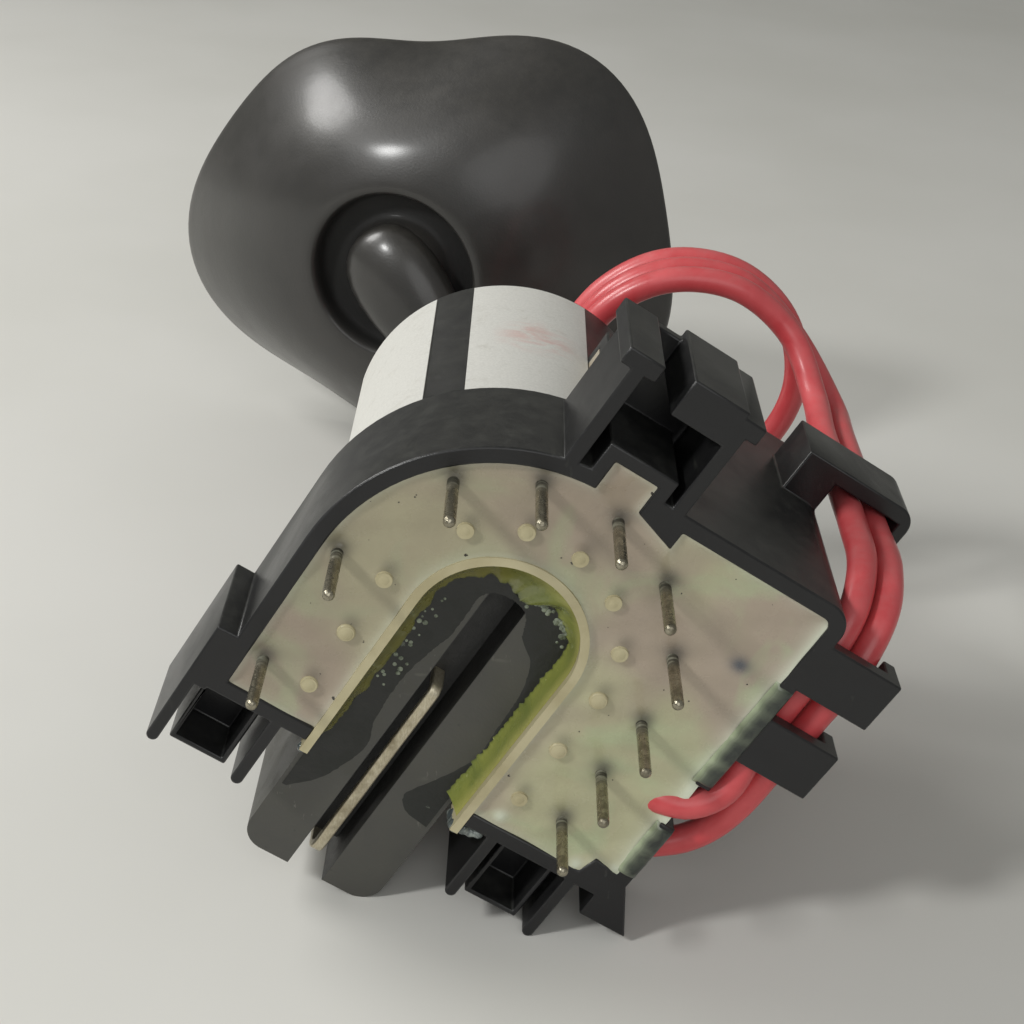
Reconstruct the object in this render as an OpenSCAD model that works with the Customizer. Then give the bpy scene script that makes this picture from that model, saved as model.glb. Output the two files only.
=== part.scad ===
// Flyback transformer of a picture tube set, lying on its side with its terminal pins to the front.
// The transformer is drawn in its own axes: x from the coil axis to the open side of the core slot,
// y to the narrow arm, z up from the board seat. lie() then rolls it on to its core and one snap foot.

/* [Case] */
// outer radius of the round end of the base
skirt_r = 23; // [21.5:0.5:25]
// height of the base above the board seat
skirt_h = 15.3; // [14.5:0.1:16.5]
// thickness of the case walls
case_wall = 1.9; // [1.4:0.1:2.2]
// outer radius of the coil cylinder
coil_r = 19.5; // [18.5:0.5:20.5]
// height of the coil cylinder above the board seat
coil_h = 57; // [54:0.5:60]
// from the coil axis to the ends of the two arms
arm_len = 22; // [21:0.5:23.5]
// from the coil axis to the outer wall on the focus side
wide_side = 30.5; // [29:0.5:33]
// from the coil axis to the back wall of the focus box
box_side = 23.7; // [23:0.1:26]
// height of the focus box above the board seat
box_h = 40; // [36:0.5:42]
// from the coil axis to the front wall of the focus box
box_front = 12; // [9:0.5:15]
// corner radius of the focus box
box_corner_r = 3; // [2.5:0.5:5]
// depth of the potting face below the board seat
potting_drop = 0.8; // [0.4:0.1:1.4]

/* [Core] */
// width of the yokes and of the outer leg
yoke_w = 18; // [16:0.5:18]
// thickness of the yokes
yoke_t = 12; // [11:0.5:13]
// depth of the lower yoke below the board seat
yoke_inset = 4.6; // [3.5:0.1:5.5]
// radius of the round centre leg
leg_r = 6.3; // [5:0.1:6.5]
// from the coil axis to the outer face of the core
core_end = 41; // [40:0.5:43]
// thickness of the outer leg
outer_leg_t = 13; // [10:0.5:14]
// corner radius of the outer leg
core_corner_r = 3; // [2:0.5:3.5]
// height of the upper yoke above the coil cylinder
core_proud = 1.4; // [0.5:0.1:2]
// width of the groove for the clip
groove_w = 4.6; // [3.5:0.1:5]
// depth of the groove in the yokes
groove_d = 5.5; // [4.5:0.1:6]
// depth of the groove in the outer legs
leg_groove_d = 2.4; // [1.8:0.1:2.8]
// thickness of the spacers in the core gap
gap_t = 0.5; // [0.3:0.1:0.8]
// width of the clip strip
clip_w = 1.4; // [1:0.1:2]
// thickness of the clip strip
clip_t = 1; // [0.8:0.1:1.2]

/* [Terminals] */
// radius of the circle of pins
pin_circle_r = 19.3; // [18.8:0.1:19.6]
// radius of one pin
pin_r = 0.65; // [0.45:0.05:0.75]
// length of the pins below the board seat
pin_len = 9; // [7:0.5:10]
// radius of the circle of pegs
peg_circle_r = 13.6; // [13:0.1:14.5]
// radius of one peg
peg_r = 0.9; // [0.7:0.05:1.1]

/* [Snap feet] */
// width of a foot across its prongs
foot_w = 12; // [11:0.5:13]
// length of the prongs beyond the arm
foot_len = 9.4; // [8.5:0.1:10]
// height of a foot
foot_h = 14; // [12:0.5:14.5]
// thickness of a prong
prong_t = 1.4; // [1.1:0.1:1.6]
// width of the latch tongue
tongue_w = 7; // [5.5:0.1:7.4]
// reach of the back foot beyond the focus box
back_reach = 11.8; // [10:0.1:13]

/* [Leads and cap] */
// outer diameter of the leads
lead_d = 3.4; // [3:0.1:3.6]
// radius of the cap at its rim
cap_r = 40.2; // [37:0.1:42]
// depth of the cap from the rim to the collar
cap_depth = 20; // [18:0.5:22]
// height of the dome above the collar
dome_h = 4; // [3:0.5:6]
// radius of the dome
dome_r = 8.4; // [7.5:0.1:9]
// radius of the sleeve that takes the lead
sleeve_r = 4.4; // [3.5:0.1:5]
// length of the sleeve from the middle of the dome
sleeve_len = 26; // [22:0.5:28]
// depth of the two wide folds of the rim
rim_oval = 4.3; // [0:0.1:6]
// depth of the three middle folds of the rim
rim_fold = 1.4; // [0:0.1:3]
// depth of the five narrow folds of the rim
rim_ripple = 1.7; // [0:0.1:3]
// angle by which the dome points down
cap_tilt = 1.3; // [0:0.1:6]
// angle by which the dome points to the left
cap_turn = 16.5; // [10:0.5:22]

/* [Adjusters] */
// radius of the knobs
knob_r = 5; // [4:0.1:5.5]
// height of the knobs
knob_h = 4; // [3:0.1:5]
// radius of the knob shafts
knob_shaft_r = 2.4; // [2:0.1:3]

/* [Hidden] */
$fn = 64;
cut = 1;
fit_gap = 0.3;
run_gap = 0.05;
joint = 0.4;

// colours
black_plastic = [0.075, 0.075, 0.08];
potting_resin = [0.66, 0.65, 0.52];
cream_plastic = [0.78, 0.74, 0.6];
ferrite_grey = [0.25, 0.25, 0.22];
green_epoxy = [0.5, 0.54, 0.2];
spring_steel = [0.78, 0.74, 0.64];
tinned_wire = [0.55, 0.53, 0.48];
copper_wire = [0.72, 0.4, 0.22];
red_lead = [0.78, 0.22, 0.23];
cap_rubber = [0.16, 0.155, 0.15];
label_paper = [0.87, 0.86, 0.83];
ceramic_white = [0.85, 0.83, 0.78];
diode_glass = [0.18, 0.16, 0.15];
knob_grey = [0.55, 0.55, 0.54];
spacer_film = [0.8, 0.6, 0.25];

// heights along the coil axis
slot_half = yoke_w / 2 + fit_gap;
slot_wall = 1;
trough_out = slot_half + slot_wall;
trough_end = arm_len + 1.4;
yoke_low = yoke_inset;
yoke_low_in = yoke_low + yoke_t;
yoke_high = coil_h + core_proud;
yoke_high_in = yoke_high - yoke_t;
trough_floor = yoke_low_in + fit_gap;
floor_t = 1.2;
stack_low = trough_floor + floor_t;
roof_t = 2;
stack_high = yoke_high_in - fit_gap - roof_t;
gap_mid = (yoke_low_in + yoke_high_in) / 2;
leg_bore = leg_r + fit_gap;

// coil stack, from the centre leg outwards
tube_t = 1.1;
tube_r = leg_bore + tube_t;
primary_r = tube_r + 1.6;
second_tube = primary_r + 1.6;
second_r = second_tube + 2.2;
second_slots = 5;
rib_t = 0.9;
flange_low = 8;
flange_t = 1.6;
flange_r = pin_circle_r + 1.1;

// pins and pegs, angles from the narrow arm round the arch
pin_angles = [0, 45, 72, 99, 126, 153, 180];
near_row = 7.8;
far_row = 15.6;
function round_arch(t, r) = [-r * sin(t), r * cos(t)];
pin_places = concat(
    [for (t = pin_angles) round_arch(t, pin_circle_r)],
    [[far_row, pin_circle_r], [near_row, -pin_circle_r], [far_row, -pin_circle_r]]
);
peg_places = concat(
    [for (t = pin_angles) round_arch(t, peg_circle_r)],
    [for (x = [near_row, far_row], s = [-1, 1]) [x, s * peg_circle_r]]
);
peg_proud = 0.75;
pin_collar = 0.15;

// snap feet
foot_y = pin_circle_r + 0.1;
foot_root = 1.2;
shoulder_len = 7.5;
tongue_short = 0.5;
tongue_skin = 0.6;
tongue_low = 1.6;
tongue_deep = 7.6;
tongue_h = 9.4;
back_y = -1.2;
back_half = 7;
back_wall = 1.6;
back_root = 4;
lip_t = 1.6;
lip_out = 1.3;
back_tongue = [4.5, 5.2];
back_tongue_y = -2.9;
back_roof = 1.5;
relief_low = -4;
relief_high = 1.2;
relief_out = box_side + 1;
brace_in = 2.5;
brace_deep = 4.2;
brace_len = 5.2;
end_block = 2.5;
end_block_slope = 0.7;
end_block_w = 4.2;

// wire lanes along the focus side
lead_r = lead_d / 2;
lane_gap = 0.3;
lane_in = wide_side + lead_r + lane_gap;
lane_out = lane_in + lead_d + lane_gap;
lane_side = lane_out + lead_r + lane_gap;
finger_t = 2;
finger_w = 6.5;
finger_tip = 1.6;
finger_drop = 4.6;
finger_x = [-19.5, -8.5];
lane_z = finger_t + lead_r + 0.2;
lane_x = box_side + lead_r;
strap_low = 24;
strap_high = 33;
strap_root = 6.5;
strap_drop = 5;
strap_round = 2.4;
fin_back = 3.5;
fin_out = 3.2;
fin_drop = 4;
fin_h = 9;
exit_x = 6.2;
notch_w = 6.4;
notch_h = 4;
anode_exit_x = 15.6;
anode_seat = 1;

// adjusters on the focus side
knob_x = [-11, 4];
knob_z = 24;
knob_slot_w = 1.2;
knob_slot_d = 1.5;
shaft_room = 1;

// the roll that rests the core's corner and the wide arm's foot on the table
corner_at = [core_end - core_corner_r, yoke_w / 2 - core_corner_r];
tip_at = [arm_len + foot_len - prong_t / 2, foot_y + foot_w / 2 - prong_t / 2];
rest_span = tip_at - corner_at;
rest_lift = core_corner_r - prong_t / 2;
roll = atan2(rest_span[1], rest_span[0]) - acos(rest_lift / norm(rest_span));
axis_h = cos(roll) * corner_at[0] + sin(roll) * corner_at[1] + core_corner_r;
strap_x = lane_x + lead_r + lane_gap + finger_t;
left_end = -sin(roll) * tip_at[0] - cos(roll) * tip_at[1] - prong_t / 2;
right_end = sin(roll) * strap_x + cos(roll) * (lane_side + finger_tip);
// middle of the case over the table, from the coil axis at the board seat
case_mid = [(left_end + right_end) / 2, (yoke_high - pin_len) / 2, -axis_h];
function lay(p) = [-sin(roll) * p[0] - cos(roll) * p[1], p[2], -cos(roll) * p[0] + sin(roll) * p[1]] - case_mid;

// cap, as a turned profile of radius and height that folds in and out towards the rim
cap_wall = 2.4;
collar_r = 14;
moat_r = 10.2;
moat_low = cap_depth - 4;
roof_z = moat_low - cap_wall;
dome_top = cap_depth + dome_h;
cap_sides = 56;
cap_outer = [
    [dome_r * 0.4, dome_top - 0.5], [dome_r * 0.72, dome_top - 1.9], [dome_r * 0.93, dome_top - 4.2],
    [dome_r, moat_low + 1.4], [dome_r + 0.7, moat_low + 0.3], [moat_r, moat_low],
    [moat_r + 1.4, moat_low + 1], [collar_r - 1.2, cap_depth - 0.6], [collar_r, cap_depth],
    [collar_r + 2, cap_depth - 0.3], [cap_r * 0.55, cap_depth * 0.86], [cap_r * 0.7, cap_depth * 0.66],
    [cap_r * 0.84, cap_depth * 0.4], [cap_r * 0.95, cap_depth * 0.15], [cap_r, 0]
];
cap_inner = [
    [cap_r - 1.4, -0.2], [cap_r * 0.92, cap_depth * 0.15 - 0.8], [cap_r * 0.8, cap_depth * 0.4 - cap_wall + 0.4],
    [cap_r * 0.66, cap_depth * 0.66 - cap_wall], [cap_r * 0.5, cap_depth * 0.86 - cap_wall - 0.6],
    [collar_r, roof_z - 0.2], [moat_r, roof_z]
];
cap_profile = concat(cap_outer, cap_inner);
function fold_share(r) = pow(max(0, r - collar_r) / (cap_r - collar_r), 1.5);
function rim_out(t) = rim_oval * cos(2 * t - 23) + rim_fold * cos(3 * t - 175) + rim_ripple * cos(5 * t + 89);
function cap_local(q, t) = let (r = q[0] + fold_share(q[0]) * rim_out(t)) [r * cos(t), r * sin(t), q[1]];
cap_axis = [-sin(cap_turn) * cos(cap_tilt), -cos(cap_turn) * cos(cap_tilt), -sin(cap_tilt)];
cap_right = [cos(cap_turn), -sin(cap_turn), 0];
cap_up = cross(cap_axis, cap_right);
function cap_turned(p) = p[0] * cap_right + p[1] * cap_up + p[2] * cap_axis;
cap_rim = [for (k = [0:cap_sides - 1], q = [cap_outer[len(cap_outer) - 1], cap_inner[0]])
    cap_turned(cap_local(q, 360 * k / cap_sides))];
cap_low = min([for (p = cap_rim) p[2]]);
cap_place = [-19.6, 108.4, -cap_low];
// sleeve that leaves the dome to the right and down
sleeve_turn = -45;
sleeve_lift = 10;
sleeve_z = cap_depth - 1;
sleeve_bore = 8;
sleeve_local = [cos(sleeve_lift) * cos(sleeve_turn), cos(sleeve_lift) * sin(sleeve_turn), sin(sleeve_lift)];
function sleeve_point(d) = cap_place + cap_turned([0, 0, sleeve_z] + d * sleeve_local);

// routes of the leads: through the lanes, round the loop behind the box, and down to the table
loop_x = -15.5;
loop_y = -19.5;
loop_r = 16;
loop_rise = lead_d + 0.6;
focus_loop_z = 61.5;
anode_loop_z = 65.3;
function loop_at(t, z0) = [loop_x - loop_r * sin(t), loop_y - loop_r * cos(t), z0 + loop_rise * t / 360];
focus_run = [
    [exit_x + 3.4, -wide_side + 7.4, 6.6], [exit_x + 2.4, -wide_side + 4.8, 3.7],
    [exit_x + 1, -wide_side + 2.3, 2.1], [exit_x - 0.4, -wide_side, 1.8], [exit_x - 3.6, -lane_in - 0.1, 2.3],
    [-3.2, -lane_in, lane_z - 0.5], [-10, -lane_in, lane_z], [-17, -lane_in, lane_z + 0.2],
    [-lane_x + 3.5, -lane_in, lane_z + 2.6], [-lane_x + 0.5, -lane_in, lane_z + 8.4], [-lane_x, -lane_in, 20],
    [-lane_x, -lane_in, 29], [-lane_x, -lane_in, 38], [-lane_x, -lane_in, 47], [-lane_x - 1, -lane_in + 0.6, 56]
];
focus_loop = [for (t = [66:35:276]) loop_at(t, focus_loop_z)];
anode_run = [
    [anode_exit_x, -wide_side + anode_seat, lane_z], [anode_exit_x - 1.4, -wide_side - 0.9, lane_z],
    [anode_exit_x - 3.6, -lane_out + 2.5, lane_z], [anode_exit_x - 6.8, -lane_out + 0.8, lane_z],
    [4.5, -lane_out, lane_z], [-3, -lane_out, lane_z], [-10, -lane_out, lane_z],
    [-lane_x + 8, -lane_out, lane_z + 0.4], [-lane_x + 2.4, -lane_out, lane_z + 4],
    [-lane_x, -lane_out, lane_z + 10.6], [-lane_x, -lane_out, 23], [-lane_x, -lane_out, 32],
    [-lane_x, -lane_out, 41], [-lane_x, -lane_out, 50], [-lane_x - 0.4, -lane_out + 0.4, 58]
];
anode_loop = [for (t = [60:36:528]) loop_at(t, anode_loop_z)];
// the spare length lies in one turn on the table behind the core
turn_x = 14;
turn_y = 59;
turn_in = 14;
turn_out = 19;
function table_at(t, r) = [turn_x + r * cos(t), turn_y + r * sin(t), lead_r];
focus_tail = concat(
    [[18.5, 39.6, 26], [24.8, 40.6, 20.5], [29.5, 43.3, 13.5], [32.2, 48.5, 6.5], [33.2, 55.5, 2.3]],
    [for (t = [12:26:142]) table_at(t, turn_out)]
);
anode_tail = concat(
    [[-0.8, 46.4, 41.5], [-4.4, 47.4, 31.5], [-5.6, 48.8, 21.5], [-3.6, 49, 12], [2, 47.6, 4.8]],
    [for (t = [262:36:406]) table_at(t, turn_in)],
    [[17.5, 73.4, 2], [9.5, 73.4, 4.2]],
    [for (d = [15, 7, 0, -sleeve_bore]) sleeve_point(sleeve_len + d)]
);
focus_route = concat([for (p = concat(focus_run, focus_loop)) lay(p)], focus_tail);
anode_route = concat([for (p = concat(anode_run, anode_loop)) lay(p)], anode_tail);
lead_sides = 8;
lead_start = [0.2, 1, 0.1];
ferrule_len = 9;
ferrule_wall = 0.35;

// lays the transformer on its side
module lie() {
    translate(-case_mid) rotate([0, 90 + roll, 0]) rotate([-90, 0, 0]) children();
}

// block between two corners
module block(low, high) {
    translate(low) cube(high - low);
}

// plan of the slot or of its lining
module slot_plan(r, end) {
    circle(r = r);
    translate([0, -r]) square([end, 2 * r]);
}

// plan of the focus box
module box_plan(inset, front) {
    c = max(box_corner_r - inset, joint);
    x = -box_side + inset;
    y = -wide_side + inset;
    translate([x + c, y]) square([front - x - c, -y]);
    translate([x, y + c]) square([front - x, -y - c]);
    translate([x + c, y + c]) circle(r = c);
}

// plan of the base with its arch, arms and box
module base_plan(inset) {
    round_r = skirt_r - inset;
    intersection() {
        circle(r = round_r);
        translate([-round_r, -round_r]) square([round_r, 2 * round_r]);
    }
    translate([0, -round_r]) square([arm_len - inset, 2 * round_r]);
    box_plan(inset, arm_len - inset);
}

// ribs that stand in the hollow of the case: a brace at the back foot and a block at the wide arm
module hollow_ribs() {
    polygon([[-box_side, relief_low], [-box_side + brace_in, relief_low],
        [-box_side + brace_deep, relief_low - brace_len], [-box_side, relief_low - brace_len]]);
    translate([arm_len - case_wall, -wide_side + case_wall]) polygon([[cut, -cut],
        [end_block_slope - end_block, -cut], [-end_block, end_block_w - 1], [cut, end_block_w]]);
}

// hollow of the case
module cavity(low) {
    translate([0, 0, low]) difference() {
        union() {
            linear_extrude(skirt_h - case_wall - low) base_plan(case_wall);
            linear_extrude(foot_h - case_wall - low)
                translate([-relief_out, relief_low])
                    square([relief_out - skirt_r / 2, relief_high - relief_low]);
            linear_extrude(box_h - case_wall - low) box_plan(case_wall, box_front - case_wall);
            cylinder(r = coil_r - case_wall, h = stack_high - low);
        }
        translate([0, 0, -cut]) linear_extrude(skirt_h + cut - low) hollow_ribs();
    }
}

// one snap foot at the end of an arm, with two prongs and a hollow tongue
module arm_foot() {
    arm_y = (foot_w - prong_t) / 2;
    linear_extrude(foot_h) {
        for (s = [-1, 1]) {
            translate([-foot_root, s * arm_y - prong_t / 2]) square([foot_len + foot_root - prong_t / 2, prong_t]);
            translate([foot_len - prong_t / 2, s * arm_y]) circle(d = prong_t);
        }
    }
    difference() {
        block([-foot_root, -tongue_w / 2, tongue_low], [foot_len - tongue_short, tongue_w / 2, tongue_h]);
        block([tongue_skin, -tongue_w / 2 + tongue_skin, -cut],
            [foot_len - tongue_short - tongue_skin, tongue_w / 2 - tongue_skin, tongue_deep]);
    }
}

// shoulder that carries the outer prong along the narrow arm
module foot_shoulder() {
    block([arm_len - shoulder_len, skirt_r - joint, 0], [arm_len + joint, foot_y + foot_w / 2, foot_h]);
}

// the back foot, a deep pocket with two lipped walls and a hanging tongue
module back_foot() {
    end_x = -box_side - back_reach;
    for (s = [-1, 1]) {
        y = back_y + s * (back_half - back_wall / 2);
        block([end_x, y - back_wall / 2, 0], [-box_side + back_root, y + back_wall / 2, foot_h]);
        block([end_x - joint, y + s * back_wall / 2 - (s > 0 ? back_wall + lip_out : lip_out), 0],
            [end_x + lip_t, y + s * back_wall / 2 + (s > 0 ? lip_out : back_wall + lip_out), foot_h]);
    }
    block([end_x, back_y - back_half, foot_h - back_roof], [-box_side + back_root, back_y + back_half, foot_h]);
    block([end_x - 1, back_y - back_half + back_wall - joint, 0],
        [end_x - 1 + back_tongue[0], back_tongue_y + back_tongue[1] / 2, foot_h]);
    block([-relief_out - back_wall, relief_low - back_wall, 0],
        [-skirt_r / 2, relief_high + back_wall, foot_h]);
}

// one finger that holds the leads along the focus side
module lane_finger(x) {
    block([x, -lane_side - finger_tip, 0], [x + finger_w, -wide_side + joint, finger_t]);
    block([x, -lane_side - finger_tip, 0], [x + finger_w, -lane_side, finger_drop]);
}

// strap over the leads at the back corner of the focus box
module lane_strap() {
    in_x = -lane_x - lead_r - lane_gap;
    out_x = in_x - finger_t;
    out_y = -lane_side - finger_tip;
    root_y = -wide_side + strap_root;
    translate([0, 0, strap_low]) linear_extrude(strap_high - strap_low) {
        difference() {
            union() {
                translate([out_x + strap_round, out_y]) square([strap_drop - strap_round, root_y - out_y]);
                translate([out_x, out_y + strap_round]) square([strap_drop, root_y - out_y - strap_round]);
                translate([out_x + strap_round, out_y + strap_round]) circle(r = strap_round);
            }
            translate([in_x, -lane_side]) square([strap_drop, lane_side - wide_side + box_corner_r / 2]);
        }
        translate([out_x, -wide_side + box_corner_r / 2])
            square([-box_side + case_wall / 2 - out_x, strap_root - box_corner_r / 2]);
    }
}

// fin beyond the corner of the wide arm
module arm_fin() {
    linear_extrude(fin_h) polygon([[arm_len - fin_back, -wide_side + joint], [arm_len + fin_out, -wide_side - fin_drop],
        [arm_len + fin_out, -wide_side + foot_root * 2], [arm_len - joint, -wide_side + foot_root * 2]]);
}

// the black case in one piece
module housing() {
    color(black_plastic) lie() difference() {
        union() {
            linear_extrude(skirt_h) base_plan(0);
            linear_extrude(box_h) box_plan(0, box_front);
            cylinder(r = coil_r, h = coil_h);
            for (s = [-1, 1]) translate([arm_len, s * foot_y, 0]) arm_foot();
            foot_shoulder();
            back_foot();
            for (x = finger_x) lane_finger(x);
            lane_strap();
            arm_fin();
        }
        cavity(-cut);
        translate([0, 0, -cut]) linear_extrude(trough_floor + floor_t + fit_gap + cut)
            slot_plan(trough_out, arm_len + foot_len);
        translate([0, 0, yoke_high_in - fit_gap]) linear_extrude(coil_h) slot_plan(slot_half, core_end);
        cylinder(r = leg_bore, h = coil_h);
        block([exit_x - notch_w / 2, -wide_side - cut, -cut],
            [exit_x + notch_w / 2, -wide_side + case_wall + cut, notch_h]);
        for (x = knob_x) translate([x, -wide_side + 2 * case_wall, knob_z]) rotate([90, 0, 0])
            cylinder(r = knob_shaft_r + run_gap, h = 4 * case_wall);
    }
}

// body of the coil stack that the potting leaves free
module stack_room() {
    translate([0, 0, stack_low]) cylinder(r = second_r, h = stack_high - stack_low);
}

// resin round the coil and in the focus box
module potting() {
    color(potting_resin) lie() difference() {
        cavity(potting_drop);
        bobbin_shape();
        translate([0, 0, -cut]) linear_extrude(trough_floor + floor_t + cut) slot_plan(trough_out, arm_len);
        stack_room();
        pin_shapes();
        divider_shape();
        diode_shapes();
        for (x = knob_x) translate([x, -wide_side + case_wall + shaft_room, knob_z]) rotate([90, 0, 0])
            cylinder(r = knob_shaft_r + fit_gap, h = shaft_room + cut);
    }
}

// cream moulding: slot lining, pin flange with pegs, and the winding tube
module bobbin_shape() {
    linear_extrude(trough_floor + floor_t) difference() {
        slot_plan(trough_out, trough_end);
        slot_plan(slot_half, trough_end + cut);
    }
    translate([0, 0, trough_floor]) linear_extrude(floor_t) difference() {
        slot_plan(trough_out, arm_len - case_wall);
        circle(r = leg_bore);
    }
    translate([0, 0, flange_low]) linear_extrude(flange_t) difference() {
        slot_plan(flange_r, arm_len - case_wall);
        slot_plan(trough_out - joint, trough_end);
    }
    for (p = peg_places) translate([p[0], p[1], potting_drop - peg_proud])
        cylinder(r = peg_r, h = flange_low - potting_drop + peg_proud + joint);
    translate([0, 0, stack_low - joint]) linear_extrude(stack_high - stack_low + joint) difference() {
        circle(r = tube_r);
        circle(r = leg_bore);
    }
}

module primary_bobbin() {
    color(cream_plastic) lie() bobbin_shape();
}

// ring about the coil axis
module ring(inner, outer, low, high) {
    translate([0, 0, low]) linear_extrude(high - low) difference() {
        circle(r = outer);
        circle(r = inner);
    }
}

module primary_winding() {
    color(copper_wire) lie() ring(tube_r, primary_r, stack_low, stack_high);
}

// sleeve with ribs that part the sections of the winding
module secondary_bobbin() {
    pitch = (stack_high - stack_low - rib_t) / second_slots;
    color(cream_plastic) lie() {
        ring(primary_r, second_tube, stack_low, stack_high);
        for (k = [0:second_slots])
            ring(second_tube - joint, second_r, stack_low + k * pitch, stack_low + k * pitch + rib_t);
    }
}

module secondary_winding() {
    pitch = (stack_high - stack_low - rib_t) / second_slots;
    color(copper_wire) lie() for (k = [0:second_slots - 1])
        ring(second_tube, second_r, stack_low + k * pitch + rib_t, stack_low + (k + 1) * pitch);
}

// high voltage diodes beside the coil
diode_r = 1.2;
diode_len = 8;
diode_ring = second_r + diode_r + (coil_r - case_wall - second_r - 2 * diode_r) / 2;
diode_angles = [100, 130, 160];
diode_z = 28;
module diode_shapes() {
    for (t = diode_angles) translate([round_arch(t, diode_ring)[0], round_arch(t, diode_ring)[1], diode_z])
        cylinder(r = diode_r, h = diode_len);
}

module rectifier_diodes() {
    color(diode_glass) lie() diode_shapes();
}

// ceramic plate of the focus divider, behind the adjusters
divider_t = 1;
divider_y = -wide_side + case_wall + 3;
module divider_shape() {
    block([-box_side + 2 * case_wall, divider_y, skirt_h / 2], [box_front - 2 * case_wall, divider_y + divider_t,
        box_h - 2 * case_wall]);
}

module focus_divider() {
    color(ceramic_white) lie() divider_shape();
}

module pin_shapes() {
    root = pin_r + pin_collar;
    for (p = pin_places) translate([p[0], p[1], 0]) {
        translate([0, 0, -pin_len]) cylinder(r = pin_r, h = pin_len + potting_drop + joint);
        block([-root, -root, potting_drop], [root, root, flange_low]);
    }
}

module terminal_pins() {
    color(tinned_wire) lie() pin_shapes();
}

// plan of a core half, round at the coil and square at the outer leg
module core_plan() {
    half = yoke_w / 2;
    circle(r = half);
    translate([0, -half]) square([core_end - core_corner_r, yoke_w]);
    translate([0, -half + core_corner_r]) square([core_end, yoke_w - 2 * core_corner_r]);
    for (s = [-1, 1]) translate([core_end - core_corner_r, s * (half - core_corner_r)]) circle(r = core_corner_r);
}

// one half of the core: yoke at the bottom, legs up to the given height
groove_back = -2.4;
module core_half(leg_h) {
    difference() {
        union() {
            linear_extrude(yoke_t) core_plan();
            cylinder(r = leg_r, h = leg_h);
            linear_extrude(leg_h) intersection() {
                core_plan();
                translate([core_end - outer_leg_t, -yoke_w]) square([outer_leg_t, 2 * yoke_w]);
            }
        }
        translate([0, 0, -cut]) linear_extrude(groove_d + cut) {
            translate([groove_back, 0]) circle(d = groove_w);
            translate([groove_back, -groove_w / 2]) square([core_end, groove_w]);
        }
        block([core_end - leg_groove_d, -groove_w / 2, -cut], [core_end + cut, groove_w / 2, leg_h + cut]);
        block([core_end - 2 * leg_groove_d, -groove_w / 2, -cut], [core_end + cut, groove_w / 2, groove_d]);
    }
}

module core_lower() {
    color(ferrite_grey) lie() translate([0, 0, yoke_low]) core_half(gap_mid - gap_t / 2 - yoke_low);
}

module core_upper() {
    color(ferrite_grey) lie() translate([0, 0, yoke_high]) mirror([0, 0, 1])
        core_half(yoke_high - gap_mid - gap_t / 2);
}

// shims in the gap of both legs
module core_gap_spacers() {
    color(spacer_film) lie() translate([0, 0, gap_mid - gap_t / 2]) {
        cylinder(r = leg_r, h = gap_t);
        block([core_end - outer_leg_t, -yoke_w / 2 + core_corner_r, 0],
            [core_end - leg_groove_d, yoke_w / 2 - core_corner_r, gap_t]);
    }
}

// bead of epoxy along the slot, on the face of the lower yoke
seal_w = 2.8;
seal_t = 3.4;
module seal_section(s) {
    polygon([[s * slot_half, yoke_low - seal_t], [s * slot_half, yoke_low], [s * (slot_half - seal_w), yoke_low]]);
}

module core_seal() {
    color(green_epoxy) lie() {
        for (s = [-1, 1]) rotate([90, 0, 90]) linear_extrude(arm_len) seal_section(s);
        rotate([0, 0, 90]) rotate_extrude(angle = 180) seal_section(1);
    }
}

// sprung strip that clamps the halves together, with its tips on the floors of the grooves
clip_start = 11.5;
clip_sink = 1.4;
module core_clip() {
    in_x = core_end - leg_groove_d;
    low = yoke_low + clip_sink;
    high = yoke_high - clip_sink - clip_t;
    color(spring_steel) lie() {
        block([clip_start, -clip_w / 2, low], [in_x + clip_t, clip_w / 2, low + clip_t]);
        block([clip_start, -clip_w / 2, low], [clip_start + clip_t, clip_w / 2, yoke_low + groove_d]);
        block([in_x, -clip_w / 2, low], [in_x + clip_t, clip_w / 2, high + clip_t]);
        block([clip_start, -clip_w / 2, high], [in_x + clip_t, clip_w / 2, high + clip_t]);
        block([clip_start, -clip_w / 2, yoke_high - groove_d], [clip_start + clip_t, clip_w / 2, high + clip_t]);
    }
}

// label on the coil cylinder between two angles from the narrow arm round the arch
label_t = 0.15;
label_low = skirt_h + 1.2;
label_high = coil_h - 0.8;
module label(from, to) {
    lie() translate([0, 0, label_low]) rotate([0, 0, 90 + from])
        rotate_extrude(angle = to - from) translate([coil_r, 0]) square([label_t, label_high - label_low]);
}

module label_left() {
    color(label_paper) label(-14, 31);
}

module label_right() {
    color(label_paper) label(46, 89.4);
}

// slotted adjuster with its shaft in the case wall
module knob(x) {
    lie() translate([x, -wide_side, knob_z]) rotate([90, 0, 0]) difference() {
        union() {
            translate([0, 0, fit_gap]) cylinder(r = knob_r, h = knob_h);
            translate([0, 0, -case_wall]) cylinder(r = knob_shaft_r, h = case_wall + fit_gap + joint);
        }
        block([-knob_r - cut, -knob_slot_w / 2, fit_gap + knob_h - knob_slot_d],
            [knob_r + cut, knob_slot_w / 2, fit_gap + knob_h + cut]);
    }
}

module focus_knob() {
    color(knob_grey) knob(knob_x[0]);
}

module screen_knob() {
    color(knob_grey) knob(knob_x[1]);
}

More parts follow.
